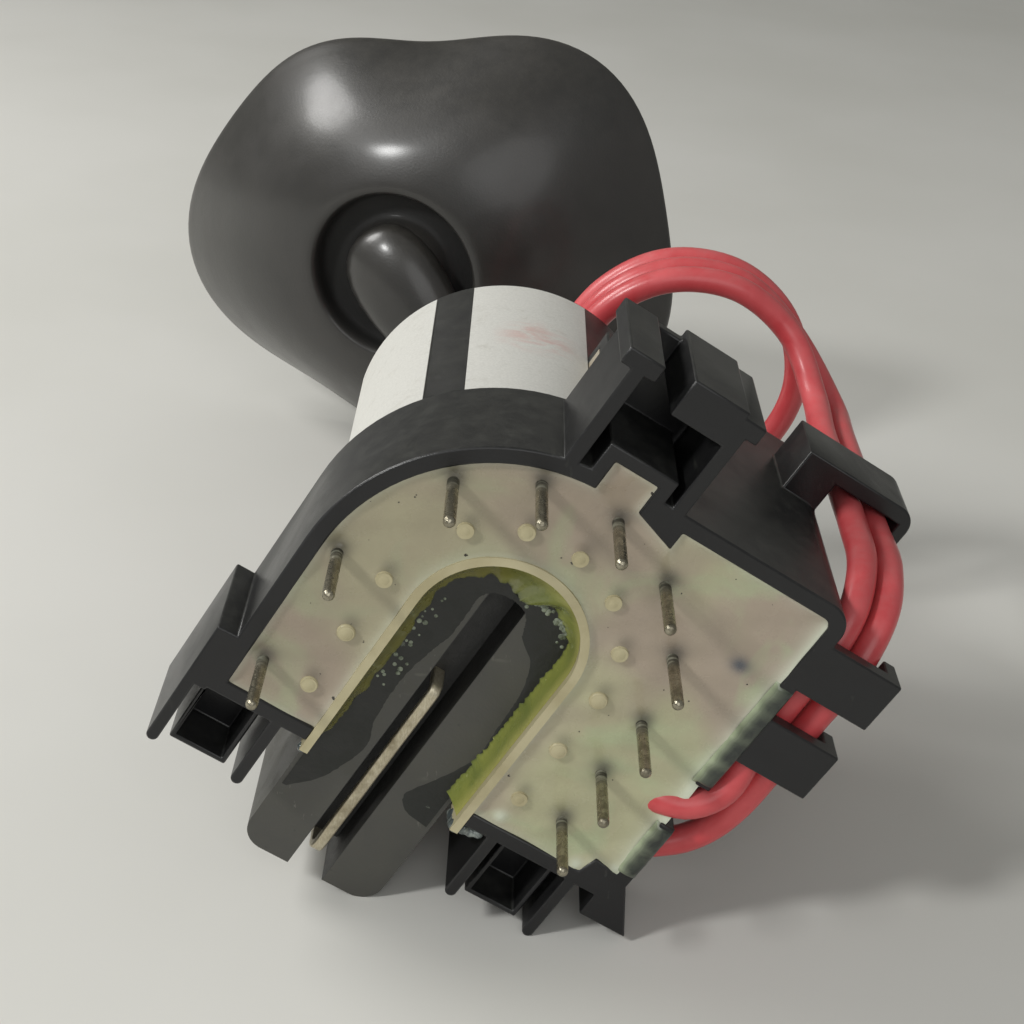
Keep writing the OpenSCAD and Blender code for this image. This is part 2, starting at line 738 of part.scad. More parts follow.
// swept tube along a route
function unit(v) = v / norm(v);
function along(p, i) = unit(p[min(i + 1, len(p) - 1)] - p[max(i - 1, 0)]);
function carry(n, t) = unit(n - t * (n * t));
function normals(p, i, n) = let (m = carry(n, along(p, i)))
    i == len(p) - 1 ? [m] : concat([m], normals(p, i + 1, m));
module tube(p, r, sides) {
    ns = normals(p, 0, lead_start);
    n = len(p);
    points = [for (i = [0:n - 1], k = [0:sides - 1]) let (t = along(p, i), b = cross(t, ns[i]))
        p[i] + r * (cos(360 * k / sides) * ns[i] + sin(360 * k / sides) * b)];
    walls = [for (i = [0:n - 2], k = [0:sides - 1]) let (m = (k + 1) % sides)
        [i * sides + k, (i + 1) * sides + k, (i + 1) * sides + m, i * sides + m]];
    first = [for (k = [0:sides - 1]) k];
    last = [for (k = [sides - 1:-1:0]) (n - 1) * sides + k];
    polyhedron(points, concat(walls, [first], [last]));
}

module focus_lead() {
    color(red_lead) tube(focus_route, lead_r, lead_sides);
}

module anode_lead() {
    color(red_lead) tube(anode_route, lead_r, lead_sides);
}

// crimped ferrule on the free end of the focus lead
module focus_ferrule() {
    n = len(focus_route);
    end = focus_route[n - 1];
    away = unit(end - focus_route[n - 2]);
    turn = atan2(away[1], away[0]);
    color(tinned_wire) translate(end) rotate([0, 0, turn]) rotate([0, 90, 0])
        cylinder(r = lead_r - ferrule_wall, h = ferrule_len);
}

// rubber suction cap with its dome and the sleeve of the lead
module cap_frame() {
    translate(cap_place) multmatrix([
        [cap_right[0], cap_up[0], cap_axis[0], 0],
        [cap_right[1], cap_up[1], cap_axis[1], 0],
        [cap_right[2], cap_up[2], cap_axis[2], 0],
        [0, 0, 0, 1]]) children();
}

module cap_sleeve(r, from, to) {
    translate([0, 0, sleeve_z]) rotate([0, 0, sleeve_turn]) rotate([0, 90 - sleeve_lift, 0])
        translate([0, 0, from]) cylinder(r = r, h = to - from);
}

module anode_cap() {
    n = len(cap_profile);
    rings = [for (k = [0:cap_sides - 1], q = cap_profile) cap_local(q, 360 * k / cap_sides)];
    top = len(rings);
    walls = [for (k = [0:cap_sides - 1], i = [0:n - 2]) let (m = (k + 1) % cap_sides)
        [m * n + i, m * n + i + 1, k * n + i + 1, k * n + i]];
    ends = [for (k = [0:cap_sides - 1]) let (m = (k + 1) % cap_sides) each
        [[m * n, k * n, top], [k * n + n - 1, m * n + n - 1, top + 1]]];
    color(cap_rubber) cap_frame() difference() {
        union() {
            polyhedron(concat(rings, [[0, 0, dome_top], [0, 0, roof_z]]), concat(walls, ends));
            cap_sleeve(sleeve_r, 0, sleeve_len);
        }
        cap_sleeve(lead_r, sleeve_len - sleeve_bore, sleeve_len + cut);
    }
}

// sprung contact under the roof of the cap
clip_disc_r = 4;
clip_disc_t = 1;
clip_wire_r = 0.7;
clip_reach = 9;
clip_splay = 20;
module anode_clip() {
    color(spring_steel) cap_frame() translate([0, 0, roof_z]) {
        translate([0, 0, -clip_disc_t]) cylinder(r = clip_disc_r, h = clip_disc_t);
        for (s = [-1, 1]) translate([s * clip_disc_r / 2, 0, -clip_disc_t / 2]) rotate([0, 180 - s * clip_splay, 0])
            cylinder(r = clip_wire_r, h = clip_reach);
    }
}

housing();
potting();
primary_bobbin();
primary_winding();
secondary_bobbin();
secondary_winding();
rectifier_diodes();
focus_divider();
terminal_pins();
core_lower();
core_upper();
core_gap_spacers();
core_seal();
core_clip();
label_left();
label_right();
focus_knob();
screen_knob();
focus_lead();
focus_ferrule();
anode_lead();
anode_cap();
anode_clip();
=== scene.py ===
import random
from math import cos, exp, hypot, pi, radians, sin, sqrt

import bmesh
import bpy
import numpy as np
from mathutils import Matrix, Vector


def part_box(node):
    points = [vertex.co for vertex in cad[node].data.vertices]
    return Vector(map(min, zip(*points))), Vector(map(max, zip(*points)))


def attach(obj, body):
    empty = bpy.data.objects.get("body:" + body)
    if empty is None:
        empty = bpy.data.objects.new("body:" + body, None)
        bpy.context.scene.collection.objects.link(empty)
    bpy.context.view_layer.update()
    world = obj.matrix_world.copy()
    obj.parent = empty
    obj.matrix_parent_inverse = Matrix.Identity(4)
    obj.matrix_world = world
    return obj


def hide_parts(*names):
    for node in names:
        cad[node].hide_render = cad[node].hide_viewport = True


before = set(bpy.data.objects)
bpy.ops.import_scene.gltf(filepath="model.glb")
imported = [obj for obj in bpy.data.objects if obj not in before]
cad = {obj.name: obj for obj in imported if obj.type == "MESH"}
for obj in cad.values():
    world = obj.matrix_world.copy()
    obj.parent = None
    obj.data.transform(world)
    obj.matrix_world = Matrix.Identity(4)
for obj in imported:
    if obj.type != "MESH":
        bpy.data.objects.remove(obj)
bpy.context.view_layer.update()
scene = bpy.context.scene
scene.view_settings.view_transform = "Standard"

MM = 0.001
# how far the potting lies behind the board seat, in mm
POTTING_DROP = 0.8
# where the board seat lies along Y, in mm
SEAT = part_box("potting")[0].y / MM - POTTING_DROP
# the roll of the transformer on the table, and where its coil axis lies
ROLL_SIN, ROLL_COS = 0.4679830627, 0.8837374345
AXIS_X, AXIS_Z = -6.018029, 39.389921


def lay(a, b, w):
    """A point in the transformer's own axes, in mm: out of the slot, to the narrow arm, up from the seat."""
    return Vector((-ROLL_SIN * a - ROLL_COS * b + AXIS_X, SEAT + w, -ROLL_COS * a + ROLL_SIN * b + AXIS_Z)) * MM


def row(x, y, z):
    """A point on or over the table, in mm, with y counted from the board seat."""
    return Vector((x, SEAT + y, z)) * MM


def into_scene(name, data):
    thing = bpy.data.objects.new(name, data)
    scene.collection.objects.link(thing)
    return thing


# ---- camera

def set_camera():
    lens = bpy.data.cameras.new("camera")
    lens.sensor_width = 36
    lens.lens = 63.28
    lens.clip_start = 0.01
    camera = into_scene("camera", lens)
    right = Vector((0.99565, 0.01538, 0.09194))
    down = Vector((0.08879, -0.45693, -0.88506))
    ahead = Vector((0.02839, 0.88937, -0.45631))
    turn = Matrix((right, -down, -ahead)).transposed().to_4x4()
    camera.matrix_world = Matrix.Translation(row(-10.678, -163.911, 139.268)) @ turn
    scene.camera = camera


set_camera()


# ---- node trees

def tone(hex_code):
    """Linear colour of an sRGB hex code."""
    parts = [int(hex_code[i:i + 2], 16) / 255 for i in (0, 2, 4)]
    return tuple(p / 12.92 if p <= 0.04045 else ((p + 0.055) / 1.055) ** 2.4 for p in parts) + (1.0,)


class Nodes:
    """A node tree with short ways to add to it."""

    def __init__(self, tree):
        self.tree = tree
        if tree.bl_idname == "ShaderNodeTree":
            self.place = self.put("ShaderNodeTexCoord")["Object"]

    def put(self, kind, inputs=None, **settings):
        """Adds a node and gives its outputs; an input takes a value or the socket that feeds it."""
        node = self.tree.nodes.new(kind)
        for key, value in settings.items():
            setattr(node, key, value)
        for key, value in (inputs or {}).items():
            if isinstance(value, bpy.types.NodeSocket):
                self.tree.links.new(value, node.inputs[key])
            else:
                node.inputs[key].default_value = value
        return node.outputs

    def socket(self, label, value=None, kind="Float", way="INPUT"):
        """Adds an input or output to the tree itself."""
        made = self.tree.interface.new_socket(label, in_out=way, socket_type="NodeSocket" + kind)
        if value is not None:
            made.default_value = value

    def sums(self, operation, a, b=0.0, clamp=False):
        return self.put("ShaderNodeMath", {0: a, 1: b}, operation=operation, use_clamp=clamp)[0]

    def add(self, a, b, clamp=False):
        return self.sums("ADD", a, b, clamp)

    def times(self, a, b, clamp=False):
        return self.sums("MULTIPLY", a, b, clamp)

    def noise(self, scale, detail=3.0, rough=0.5, twist=0.0, place=None):
        return self.put("ShaderNodeTexNoise", {"Vector": place or self.place, "Scale": scale, "Detail": detail,
                                               "Roughness": rough, "Distortion": twist})["Fac"]

    def span(self, value, low, high, to_low=0.0, to_high=1.0):
        """Value stretched from low..high to a new range, held inside it."""
        return self.put("ShaderNodeMapRange", {"Value": value, "From Min": low, "From Max": high, "To Min": to_low,
                                               "To Max": to_high}, interpolation_type="SMOOTHSTEP")["Result"]


# ---- shared effects

class Effect(Nodes):
    """A group of nodes that several finishes use, with named inputs and outputs."""

    def __init__(self, name, **inputs):
        super().__init__(bpy.data.node_groups.new(name, "ShaderNodeTree"))
        for label, value in inputs.items():
            self.socket(label, value)
        self.given = self.put("NodeGroupInput")

    def close(self, **results):
        for label in results:
            self.socket(label, way="OUTPUT")
        self.put("NodeGroupOutput", results)
        return self.tree


def make_grain():
    """Fine moulded grain over soft cloudy patches."""
    e = Effect("grain", Fine=4000.0, Cloud=120.0)
    cloud = e.noise(e.given["Cloud"], 4.0, 0.6, 0.4)
    return e.close(Height=e.noise(e.given["Fine"], 4.0, 0.6), Patches=e.span(cloud, 0.3, 0.72))


def make_dust():
    """Dust that settles on faces that look up."""
    e = Effect("settled dust", Amount=0.5, Scale=300.0)
    up = e.put("ShaderNodeSeparateXYZ", {0: e.put("ShaderNodeNewGeometry")["Normal"]})["Z"]
    patchy = e.span(e.noise(e.given["Scale"], 6.0, 0.7), 0.35, 0.75, 0.25, 1.0)
    lies = e.times(e.span(up, 0.15, 0.95), patchy)
    return e.close(Mask=e.times(lies, e.given["Amount"], clamp=True))


def make_scuffs():
    """Short hairline scratches and rubbed places."""
    e = Effect("scuffs", Scale=90.0, Amount=0.5)
    thin = []
    for turn, stretch in ((0.5, (1.0, 14.0, 3.0)), (1.9, (12.0, 1.0, 4.0))):
        turned = e.put("ShaderNodeMapping", {"Vector": e.place, "Rotation": (turn, turn * 0.7, turn), "Scale": stretch})
        thin.append(e.span(e.noise(e.given["Scale"], 2.0, 0.5, place=turned[0]), 0.66, 0.72))
    where = e.span(e.noise(e.times(e.given["Scale"], 0.7), 3.0), 0.5, 0.7)
    lines = e.times(e.sums("MAXIMUM", *thin), where)
    return e.close(Lines=e.times(lines, e.given["Amount"], clamp=True),
                   Rubs=e.times(where, e.given["Amount"], clamp=True))


def make_specks():
    """Small separate dots with ragged edges, for pits, grit and air bubbles."""
    e = Effect("specks", Scale=500.0, Size=0.12, Share=0.3)
    cells = e.put("ShaderNodeTexVoronoi", {"Vector": e.place, "Scale": e.given["Scale"]}, feature="F1")
    ragged = e.noise(e.times(e.given["Scale"], 7.0), 2.0, 0.6)
    pick = e.put("ShaderNodeSeparateColor", {0: cells["Color"]})
    size = e.times(e.given["Size"], e.times(ragged, e.add(pick[1], 0.5)))
    dot = e.sums("LESS_THAN", cells["Distance"], size)
    return e.close(Mask=e.times(dot, e.sums("LESS_THAN", pick[0], e.given["Share"])))


GRAIN, DUST, SCUFFS, SPECKS = make_grain(), make_dust(), make_scuffs(), make_specks()


class Finish(Nodes):
    """One material: its tree, its shader and shortcuts to the shared effects."""

    def __init__(self, name, coat=None, **constants):
        self.material = bpy.data.materials.new(name)
        self.material.use_nodes = True
        super().__init__(self.material.node_tree)
        self.shader = self.tree.nodes["Principled BSDF"]
        if coat:
            constants["Coat Weight"], constants["Coat Roughness"] = coat
        for socket, value in constants.items():
            self.shader.inputs[socket].default_value = value

    def use(self, group, **values):
        return self.put("ShaderNodeGroup", values, node_tree=group)

    def attribute(self, name):
        return self.put("ShaderNodeAttribute", attribute_name=name)["Fac"]

    def drawn_noise(self, stretch, *values):
        """Noise that is drawn out along an axis."""
        return self.noise(*values, place=self.put("ShaderNodeMapping", {"Vector": self.place, "Scale": stretch})[0])

    def mix(self, share, first, second):
        """Mixes two colours, each a hex code or the socket that gives it."""
        first, second = (tone(c) if isinstance(c, str) else c for c in (first, second))
        return self.put("ShaderNodeMix", {0: share, 6: first, 7: second}, data_type="RGBA")[2]

    def feed(self, socket, value):
        self.tree.links.new(value, self.shader.inputs[socket])

    def colour(self, base, *coats):
        """The base colour, under coats that are each a mask and a hex code."""
        for mask, hue in coats:
            base = self.mix(mask, base, hue)
        self.feed("Base Color", base)

    def roughness(self, value, low, high, top=1.0):
        """Roughness from low to high while the value runs from nothing to its top."""
        self.feed("Roughness", self.span(value, 0.0, top, low, high))

    def bump(self, height, strength, depth):
        self.feed("Normal", self.put("ShaderNodeBump", {"Height": height, "Strength": strength, "Distance": depth})[0])


# ---- finishes

# a rubbed red mark on the right label
SMUDGE_AT = row(-3.2, 39.5, 58.6)


def black_moulding():
    f = Finish("black moulded plastic", IOR=1.5)
    grain = f.use(GRAIN, Fine=5200.0, Cloud=70.0)
    scuffs = f.use(SCUFFS, Scale=110.0, Amount=0.4)
    dust = f.use(DUST, Amount=0.2, Scale=420.0)
    f.colour(f.mix(grain["Patches"], "131315", "19191b"), (scuffs["Lines"], "4a4b45"), (dust["Mask"], "6c6d66"))
    f.roughness(f.add(grain["Patches"], dust["Mask"]), 0.3, 0.48, top=1.4)
    f.bump(grain["Height"], 0.16, 0.00012)
    return f.material


def cast_resin():
    f = Finish("cast resin", IOR=1.5, coat=(0.5, 0.09))
    broad = f.span(f.noise(42.0, 2.0, 0.5, 0.5), 0.4, 0.6)
    patch = f.span(f.noise(88.0, 3.0, 0.5, 0.9), 0.5, 0.68)
    drift = f.span(f.noise(300.0, 4.0, 0.6), 0.3, 0.7)
    grit = f.use(SPECKS, Scale=700.0, Size=0.2, Share=0.3)
    # the pale mark by the walls and at the splashes is a painted highlight
    f.colour(f.mix(broad, "ad9e8d", "bab894"), (f.times(patch, 0.75), "b3bf97"), (f.times(drift, 0.22), "9c907a"),
             # the dark mark beside the pins and pegs is painted shadow, with a stain at the pin roots
             (f.attribute("brown"), "8f8170"), (f.attribute("painted_meniscus_glint"), "d6dcc8"), (f.attribute("root_stain_and_shadow"), "45423a"),
             (f.attribute("ink"), "34465a"), (grit["Mask"], "2f2b24"))
    f.roughness(drift, 0.2, 0.36)
    f.bump(f.noise(330.0, 3.0, 0.5), 0.2, 0.0006)
    return f.material


def spilt_resin():
    f = Finish("spilt resin", IOR=1.5, coat=(0.7, 0.06))
    cloud = f.span(f.noise(520.0, 3.0, 0.6, 0.8), 0.38, 0.64)
    grain = f.use(GRAIN, Fine=3000.0, Cloud=700.0)
    f.colour(f.mix(cloud, "3c4347", "9aa29c"), (grain["Patches"], "59615f"))
    f.roughness(cloud, 0.16, 0.3)
    f.bump(f.noise(900.0, 3.0, 0.5), 0.25, 0.0004)
    return f.material


def thin_resin():
    f = Finish("thin resin over black", IOR=1.5, coat=(0.6, 0.08))
    cloud = f.span(f.noise(420.0, 3.0, 0.6, 0.6), 0.3, 0.7, -0.08, 0.04)
    thin = f.add(f.attribute("thin"), cloud, clamp=True)
    f.colour(f.mix(thin, "aeba99", "1b231e"))
    f.roughness(thin, 0.2, 0.32)
    f.bump(f.noise(500.0, 3.0, 0.5), 0.25, 0.0005)
    return f.material


def grained(name, ior, fine, cloud, tones, rough, depth=0.2, flaw=None):
    """A plain moulded or fired finish; flaw names the effect, its output and the colour of what marks it."""
    f = Finish(name, IOR=ior)
    grain = f.use(GRAIN, Fine=fine, Cloud=cloud)
    coats = []
    if flaw:
        group, values, output, hue = flaw
        coats.append((f.use(group, **values)[output], hue))
    f.colour(f.mix(grain["Patches"], *tones), *coats)
    f.roughness(grain["Patches"], *rough)
    f.bump(grain["Height"], depth, 0.0001)
    return f.material


def green_epoxy():
    f = Finish("green epoxy", IOR=1.53, coat=(0.6, 0.07))
    cloud = f.span(f.noise(150.0, 4.0, 0.6, 0.8), 0.32, 0.68)
    specks = f.use(SPECKS, Scale=800.0, Size=0.25, Share=0.2)
    # the bead's darker narrow-arm side is painted shade
    f.colour(f.mix(cloud, "8f9448", "757f3d"), (f.attribute("rim"), "c0ba6c"), (f.attribute("painted_side_shade"), "79723f"),
             (f.attribute("foot"), "3a4529"), (f.times(specks["Mask"], 0.4), "c3c88d"))
    f.roughness(cloud, 0.18, 0.3)
    f.bump(f.noise(600.0, 3.0, 0.6), 0.3, 0.0004)
    return f.material


def epoxy_smear():
    f = Finish("smeared epoxy", IOR=1.53, coat=(0.15, 0.25))
    cloud = f.span(f.noise(330.0, 4.0, 0.6, 0.6), 0.35, 0.7)
    specks = f.use(SPECKS, Scale=700.0, Size=0.3, Share=0.12)
    f.colour(f.mix(cloud, "0f110e", "171a15"), (f.times(specks["Mask"], 0.5), "6d7468"))
    f.roughness(cloud, 0.42, 0.6)
    f.bump(f.noise(900.0, 3.0, 0.6), 0.4, 0.0003)
    return f.material


def cloudy(name, grain, limits, tones, rough, strength=0.0, **constants):
    """A plain finish that drifts between two colours, with a bump where a strength is given."""
    f = Finish(name, **constants)
    cloud = f.span(f.noise(*grain), *limits)
    f.colour(f.mix(cloud, *tones))
    f.roughness(cloud, *rough)
    if strength:
        f.bump(cloud, strength, 0.0001)
    return f.material


def grey_ferrite():
    f = Finish("grey ferrite", IOR=1.8)
    grain = f.use(GRAIN, Fine=2600.0, Cloud=210.0)
    scuffs = f.use(SCUFFS, Scale=160.0, Amount=0.5)
    pits = f.use(SPECKS, Scale=900.0, Size=0.2, Share=0.14)
    # painted shade in the clip's groove, by the distance from the middle plane of the core
    across = f.put("ShaderNodeVectorMath", {0: f.place, 1: (-ROLL_COS, 0.0, ROLL_SIN)}, operation="DOT_PRODUCT")
    middle = f.sums("ABSOLUTE", f.add(across["Value"], (ROLL_COS * AXIS_X - ROLL_SIN * AXIS_Z) * MM))
    groove_painted_shade = f.span(middle, 2.32 * MM, 2.4 * MM, 0.9, 0.0)
    f.colour(f.mix(grain["Patches"], "35342f", "42413a"), (scuffs["Lines"], "7b7b70"), (pits["Mask"], "2f2f2a"),
             (groove_painted_shade, "0f0f0e"))
    f.roughness(grain["Patches"], 0.5, 0.66)
    f.bump(grain["Height"], 0.35, 0.00015)
    return f.material


def plated_strip():
    f = Finish("plated spring strip")
    streaks = f.span(f.drawn_noise((4.0, 1.0, 1.0), 1500.0, 4.0, 0.6), 0.35, 0.7)
    tarnish = f.span(f.noise(240.0, 4.0, 0.65), 0.45, 0.75)
    f.colour(f.mix(streaks, "c9bfa4", "ded6c0"), (tarnish, "9b8f74"))
    f.feed("Metallic", f.span(tarnish, 0.0, 1.0, 0.75, 0.4))
    f.roughness(streaks, 0.42, 0.3)
    f.bump(streaks, 0.15, 0.0001)
    return f.material


def tinned_wire():
    f = Finish("tinned wire")
    dull = f.span(f.noise(900.0, 5.0, 0.65), 0.38, 0.68)
    flux = f.span(f.drawn_noise((0.4, 3.0, 0.4), 800.0, 4.0, 0.6), 0.45, 0.65)
    root = f.attribute("root")
    f.colour(f.mix(dull, "a39d8b", "807a69"), (f.times(root, flux), "9a9c8d"),
             (f.times(root, f.sums("SUBTRACT", 1.0, flux)), "46453c"))
    f.feed("Metallic", f.span(root, 0.0, 1.0, 0.9, 0.3))
    f.roughness(f.add(dull, root), 0.24, 0.62, top=2.0)
    f.bump(f.add(dull, f.times(flux, root)), 0.3, 0.00012)
    return f.material


def red_insulation():
    f = Finish("red lead insulation", IOR=1.48, coat=(0.2, 0.2))
    grain = f.use(GRAIN, Fine=3000.0, Cloud=140.0)
    dust = f.use(DUST, Amount=0.3, Scale=500.0)
    f.colour(f.mix(grain["Patches"], "cb454a", "d8585c"), (dust["Mask"], "b98482"))
    f.roughness(f.add(grain["Patches"], dust["Mask"]), 0.3, 0.5, top=1.3)
    f.bump(grain["Height"], 0.12, 0.0001)
    return f.material


def cap_rubber():
    f = Finish("cap rubber", IOR=1.5, coat=(0.42, 0.19))
    grain = f.use(GRAIN, Fine=2600.0, Cloud=55.0)
    dust = f.use(DUST, Amount=0.16, Scale=260.0)
    scuffs = f.use(SCUFFS, Scale=60.0, Amount=0.4)
    # painted shade in the ring round the dome: near black colour, higher roughness and no coat there
    hollow = f.attribute("hollow")
    f.colour(f.mix(grain["Patches"], "262523", "302e2c"), (scuffs["Rubs"], "3a3835"), (dust["Mask"], "6b675f"),
             (hollow, "0d0d0c"))
    sheen = f.span(f.add(grain["Patches"], dust["Mask"]), 0.0, 1.4, 0.36, 0.5)
    f.feed("Roughness", f.add(sheen, f.times(hollow, 0.4), clamp=True))
    f.feed("Coat Weight", f.span(hollow, 0.0, 1.0, 0.42, 0.0))
    f.bump(f.add(grain["Height"], f.noise(420.0, 3.0, 0.5)), 0.1, 0.0003)
    return f.material


def label_paper():
    f = Finish("bare label paper", IOR=1.45)
    fibres = f.noise(3200.0, 5.0, 0.7)
    streaks = f.span(f.drawn_noise((1.0, 2.6, 1.0), 260.0, 4.0, 0.6, 0.8), 0.36, 0.68)
    apart = f.put("ShaderNodeVectorMath", {0: f.place, 1: tuple(SMUDGE_AT)}, operation="DISTANCE")
    smudge = f.times(f.span(apart["Value"], 1.5 * MM, 6.5 * MM, 1.0, 0.0), streaks)
    grime = f.span(f.noise(300.0, 5.0, 0.7), 0.52, 0.8)
    f.colour(f.mix(f.span(fibres, 0.35, 0.65), "cfcec8", "d9d8d2"), (f.times(smudge, 0.45), "cf8f86"),
             (f.times(grime, 0.4), "a8a498"))
    f.roughness(grime, 0.48, 0.64)
    f.bump(fibres, 0.2, 0.0001)
    return f.material


def wound_copper():
    f = Finish("enamelled copper turns", coat=(0.6, 0.1))
    turns = f.put("ShaderNodeTexWave", {"Vector": f.place, "Scale": 900.0, "Distortion": 0.3}, bands_direction="Y")
    warm = f.span(f.noise(300.0), 0.3, 0.7)
    f.colour(f.mix(warm, "b3653a", "8a4a2b"))
    f.feed("Metallic", f.span(warm, 0.0, 1.0, 0.95, 0.8))
    f.roughness(warm, 0.25, 0.4)
    f.bump(turns["Fac"], 0.6, 0.0002)
    return f.material


BLACK, RESIN = black_moulding(), cast_resin()
CREAM = grained("cream moulded plastic", 1.49, 4200.0, 160.0, ("c4bb98", "b2a884"), (0.36, 0.52),
                flaw=(SPECKS, {"Scale": 520.0, "Size": 0.1, "Share": 0.1}, "Mask", "5a5242"))
EPOXY, SMEAR, FERRITE = green_epoxy(), epoxy_smear(), grey_ferrite()
SPILT, THIN_RESIN = spilt_resin(), thin_resin()
BUBBLE = cloudy("bubbled epoxy", (1400.0, 3.0, 0.6), (0.35, 0.65), ("57604f", "8b9482"), (0.25, 0.4), 0.2,
                IOR=1.5, coat=(0.5, 0.1))
STRIP, TIN, RED, RUBBER = plated_strip(), tinned_wire(), red_insulation(), cap_rubber()
PAPER, COPPER = label_paper(), wound_copper()
FILM = cloudy("amber spacer film", (420.0, 4.0), (0.3, 0.7), ("b98f3c", "cba457"), (0.25, 0.4), 0.1, IOR=1.6)
KNOB = grained("grey knob plastic", 1.49, 4500.0, 260.0, ("8b8b89", "9a9a97"), (0.38, 0.52),
               flaw=(SCUFFS, {"Scale": 240.0, "Amount": 0.6}, "Lines", "c2c2bd"))
DIODE = grained("moulded diode body", 1.5, 4000.0, 300.0, ("2b2725", "3a3431"), (0.3, 0.45))
CERAMIC = grained("fired ceramic", 1.6, 3800.0, 240.0, ("d6d2c7", "c8c3b6"), (0.55, 0.7), 0.25,
                  flaw=(SPECKS, {"Scale": 1200.0, "Size": 0.16, "Share": 0.25}, "Mask", "8f8a7d"))

FINISHES = {
    "housing": BLACK, "potting": RESIN, "primary_bobbin": CREAM, "primary_winding": COPPER,
    "secondary_bobbin": CREAM, "secondary_winding": COPPER, "rectifier_diodes": DIODE, "focus_divider": CERAMIC,
    "terminal_pins": TIN, "core_lower": FERRITE, "core_upper": FERRITE, "core_gap_spacers": FILM,
    "core_seal": EPOXY, "core_clip": STRIP, "label_left": PAPER, "label_right": PAPER, "focus_knob": KNOB,
    "screen_knob": KNOB, "focus_lead": RED, "focus_ferrule": TIN, "anode_lead": RED, "anode_cap": RUBBER,
    "anode_clip": STRIP,
}
for name, finish in FINISHES.items():
    cad[name].data.materials.clear()
    cad[name].data.materials.append(finish)


# ---- mesh helpers

def lofted(name, rings, closed=True, caps=(False, False), outward=True):
    """Mesh through rings of points; closed rings join round, caps close the two ends."""
    n, m = len(rings), len(rings[0])
    faces = []
    for i in range(n - 1):
        for k in range(m if closed else m - 1):
            j = (k + 1) % m
            faces.append((i * m + k, i * m + j, (i + 1) * m + j, (i + 1) * m + k))
    if caps[0]:
        faces.append(tuple(range(m - 1, -1, -1)))
    if caps[1]:
        faces.append(tuple((n - 1) * m + k for k in range(m)))
    mesh = bpy.data.meshes.new(name)
    mesh.from_pydata([tuple(p) for ring in rings for p in ring], [], faces)
    if outward:
        turn_outward(mesh)
    mesh.shade_smooth()
    return mesh


def turn_outward(mesh):
    b = bmesh.new()
    b.from_mesh(mesh)
    bmesh.ops.recalc_face_normals(b, faces=b.faces)
    b.to_mesh(mesh)
    b.free()


def face_front(mesh):
    """Turns an open sheet so that it looks away from the coil."""
    if sum(face.normal.y * face.area for face in mesh.polygons) > 0:
        mesh.flip_normals()


def sheet(name, verts, faces):
    mesh = bpy.data.meshes.new(name)
    mesh.from_pydata([tuple(v) for v in verts], [], faces)
    face_front(mesh)
    mesh.shade_smooth()
    return mesh


def mark(mesh, **marks):
    """Stores a value for each point under each name, for the finishes to read."""
    for name, values in marks.items():
        mesh.attributes.new(name, "FLOAT", "POINT").data.foreach_set("value", np.asarray(values, np.float32))


def piece(name, mesh, finish, body, slot, *nodes):
    """Puts a finished mesh into the scene on its body, in place of the CAD nodes that it stands for."""
    thing = into_scene(name, mesh)
    mesh.materials.clear()
    mesh.materials.append(finish)
    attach(thing, body)
    if nodes:
        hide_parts(*nodes)
    return thing


def plain_mesh(thing, name):
    """The finished mesh of a generated object, which is taken away with its generator."""
    bpy.context.view_layer.update()
    mesh = bpy.data.meshes.new_from_object(thing.evaluated_get(bpy.context.evaluated_depsgraph_get()))
    mesh.name = name
    bpy.data.objects.remove(thing)
    return mesh


class Growth(Nodes):
    """A Geometry Nodes tree with named inputs for its sizes, its counts and its finish."""

    def __init__(self, name, sizes, counts):
        super().__init__(bpy.data.node_groups.new(name, "GeometryNodeTree"))
        self.socket("Geometry", kind="Geometry")
        for kind, inputs in (("Float", sizes), ("Int", counts)):
            for label, value in inputs.items():
                self.socket(label, value, kind)
        self.socket("Finish", kind="Material")
        self.socket("Geometry", kind="Geometry", way="OUTPUT")
        self.given = self.put("NodeGroupInput")

    def spot(self):
        """X, Y and Z of the points that the tree works on."""
        return self.put("ShaderNodeSeparateXYZ", {0: self.put("GeometryNodeInputPosition")[0]})

    def end(self, geometry):
        """Makes what stands on the points real, smooth and dressed, and sends it out."""
        for kind in ("GeometryNodeRealizeInstances", "GeometryNodeSetShadeSmooth"):
            geometry = self.put(kind, {0: geometry})[0]
        dressed = self.put("GeometryNodeSetMaterial", {"Geometry": geometry, "Material": self.given["Finish"]})[0]
        self.put("NodeGroupOutput", {"Geometry": dressed})
        return self.tree


def grown(name, seed, tree, values):
    """The plain mesh that a tree grows on a seed mesh, with its inputs set."""
    thing = into_scene(seed.name, seed)
    modifier = thing.modifiers.new(tree.name, "NODES")
    modifier.node_group = tree
    for item in tree.interface.items_tree:
        if item.in_out == "INPUT" and item.name in values:
            modifier[item.identifier] = values[item.name]
    return plain_mesh(thing, name)


def smooth_path(points, step):
    """Points of one smooth curve through the given ones."""
    p = [np.array(q) for q in points]
    p = [2 * p[0] - p[1]] + p + [2 * p[-1] - p[-2]]
    out = []
    for i in range(1, len(p) - 2):
        t = [0.0]
        for j in range(3):
            t.append(t[-1] + np.linalg.norm(p[i + j] - p[i + j - 1]) ** 0.5)
        count = max(2, int(np.linalg.norm(p[i + 1] - p[i]) / step))
        for k in range(count):
            s = t[1] + (t[2] - t[1]) * k / count
            a = [((t[j + 1] - s) * p[i + j - 1] + (s - t[j]) * p[i + j]) / (t[j + 1] - t[j]) for j in range(3)]
            b = [((t[j + 2] - s) * a[j] + (s - t[j]) * a[j + 1]) / (t[j + 2] - t[j]) for j in range(2)]
            out.append(((t[2] - s) * b[0] + (s - t[1]) * b[1]) / (t[2] - t[1]))
    out.append(p[-2])
    return [Vector(q) for q in out]


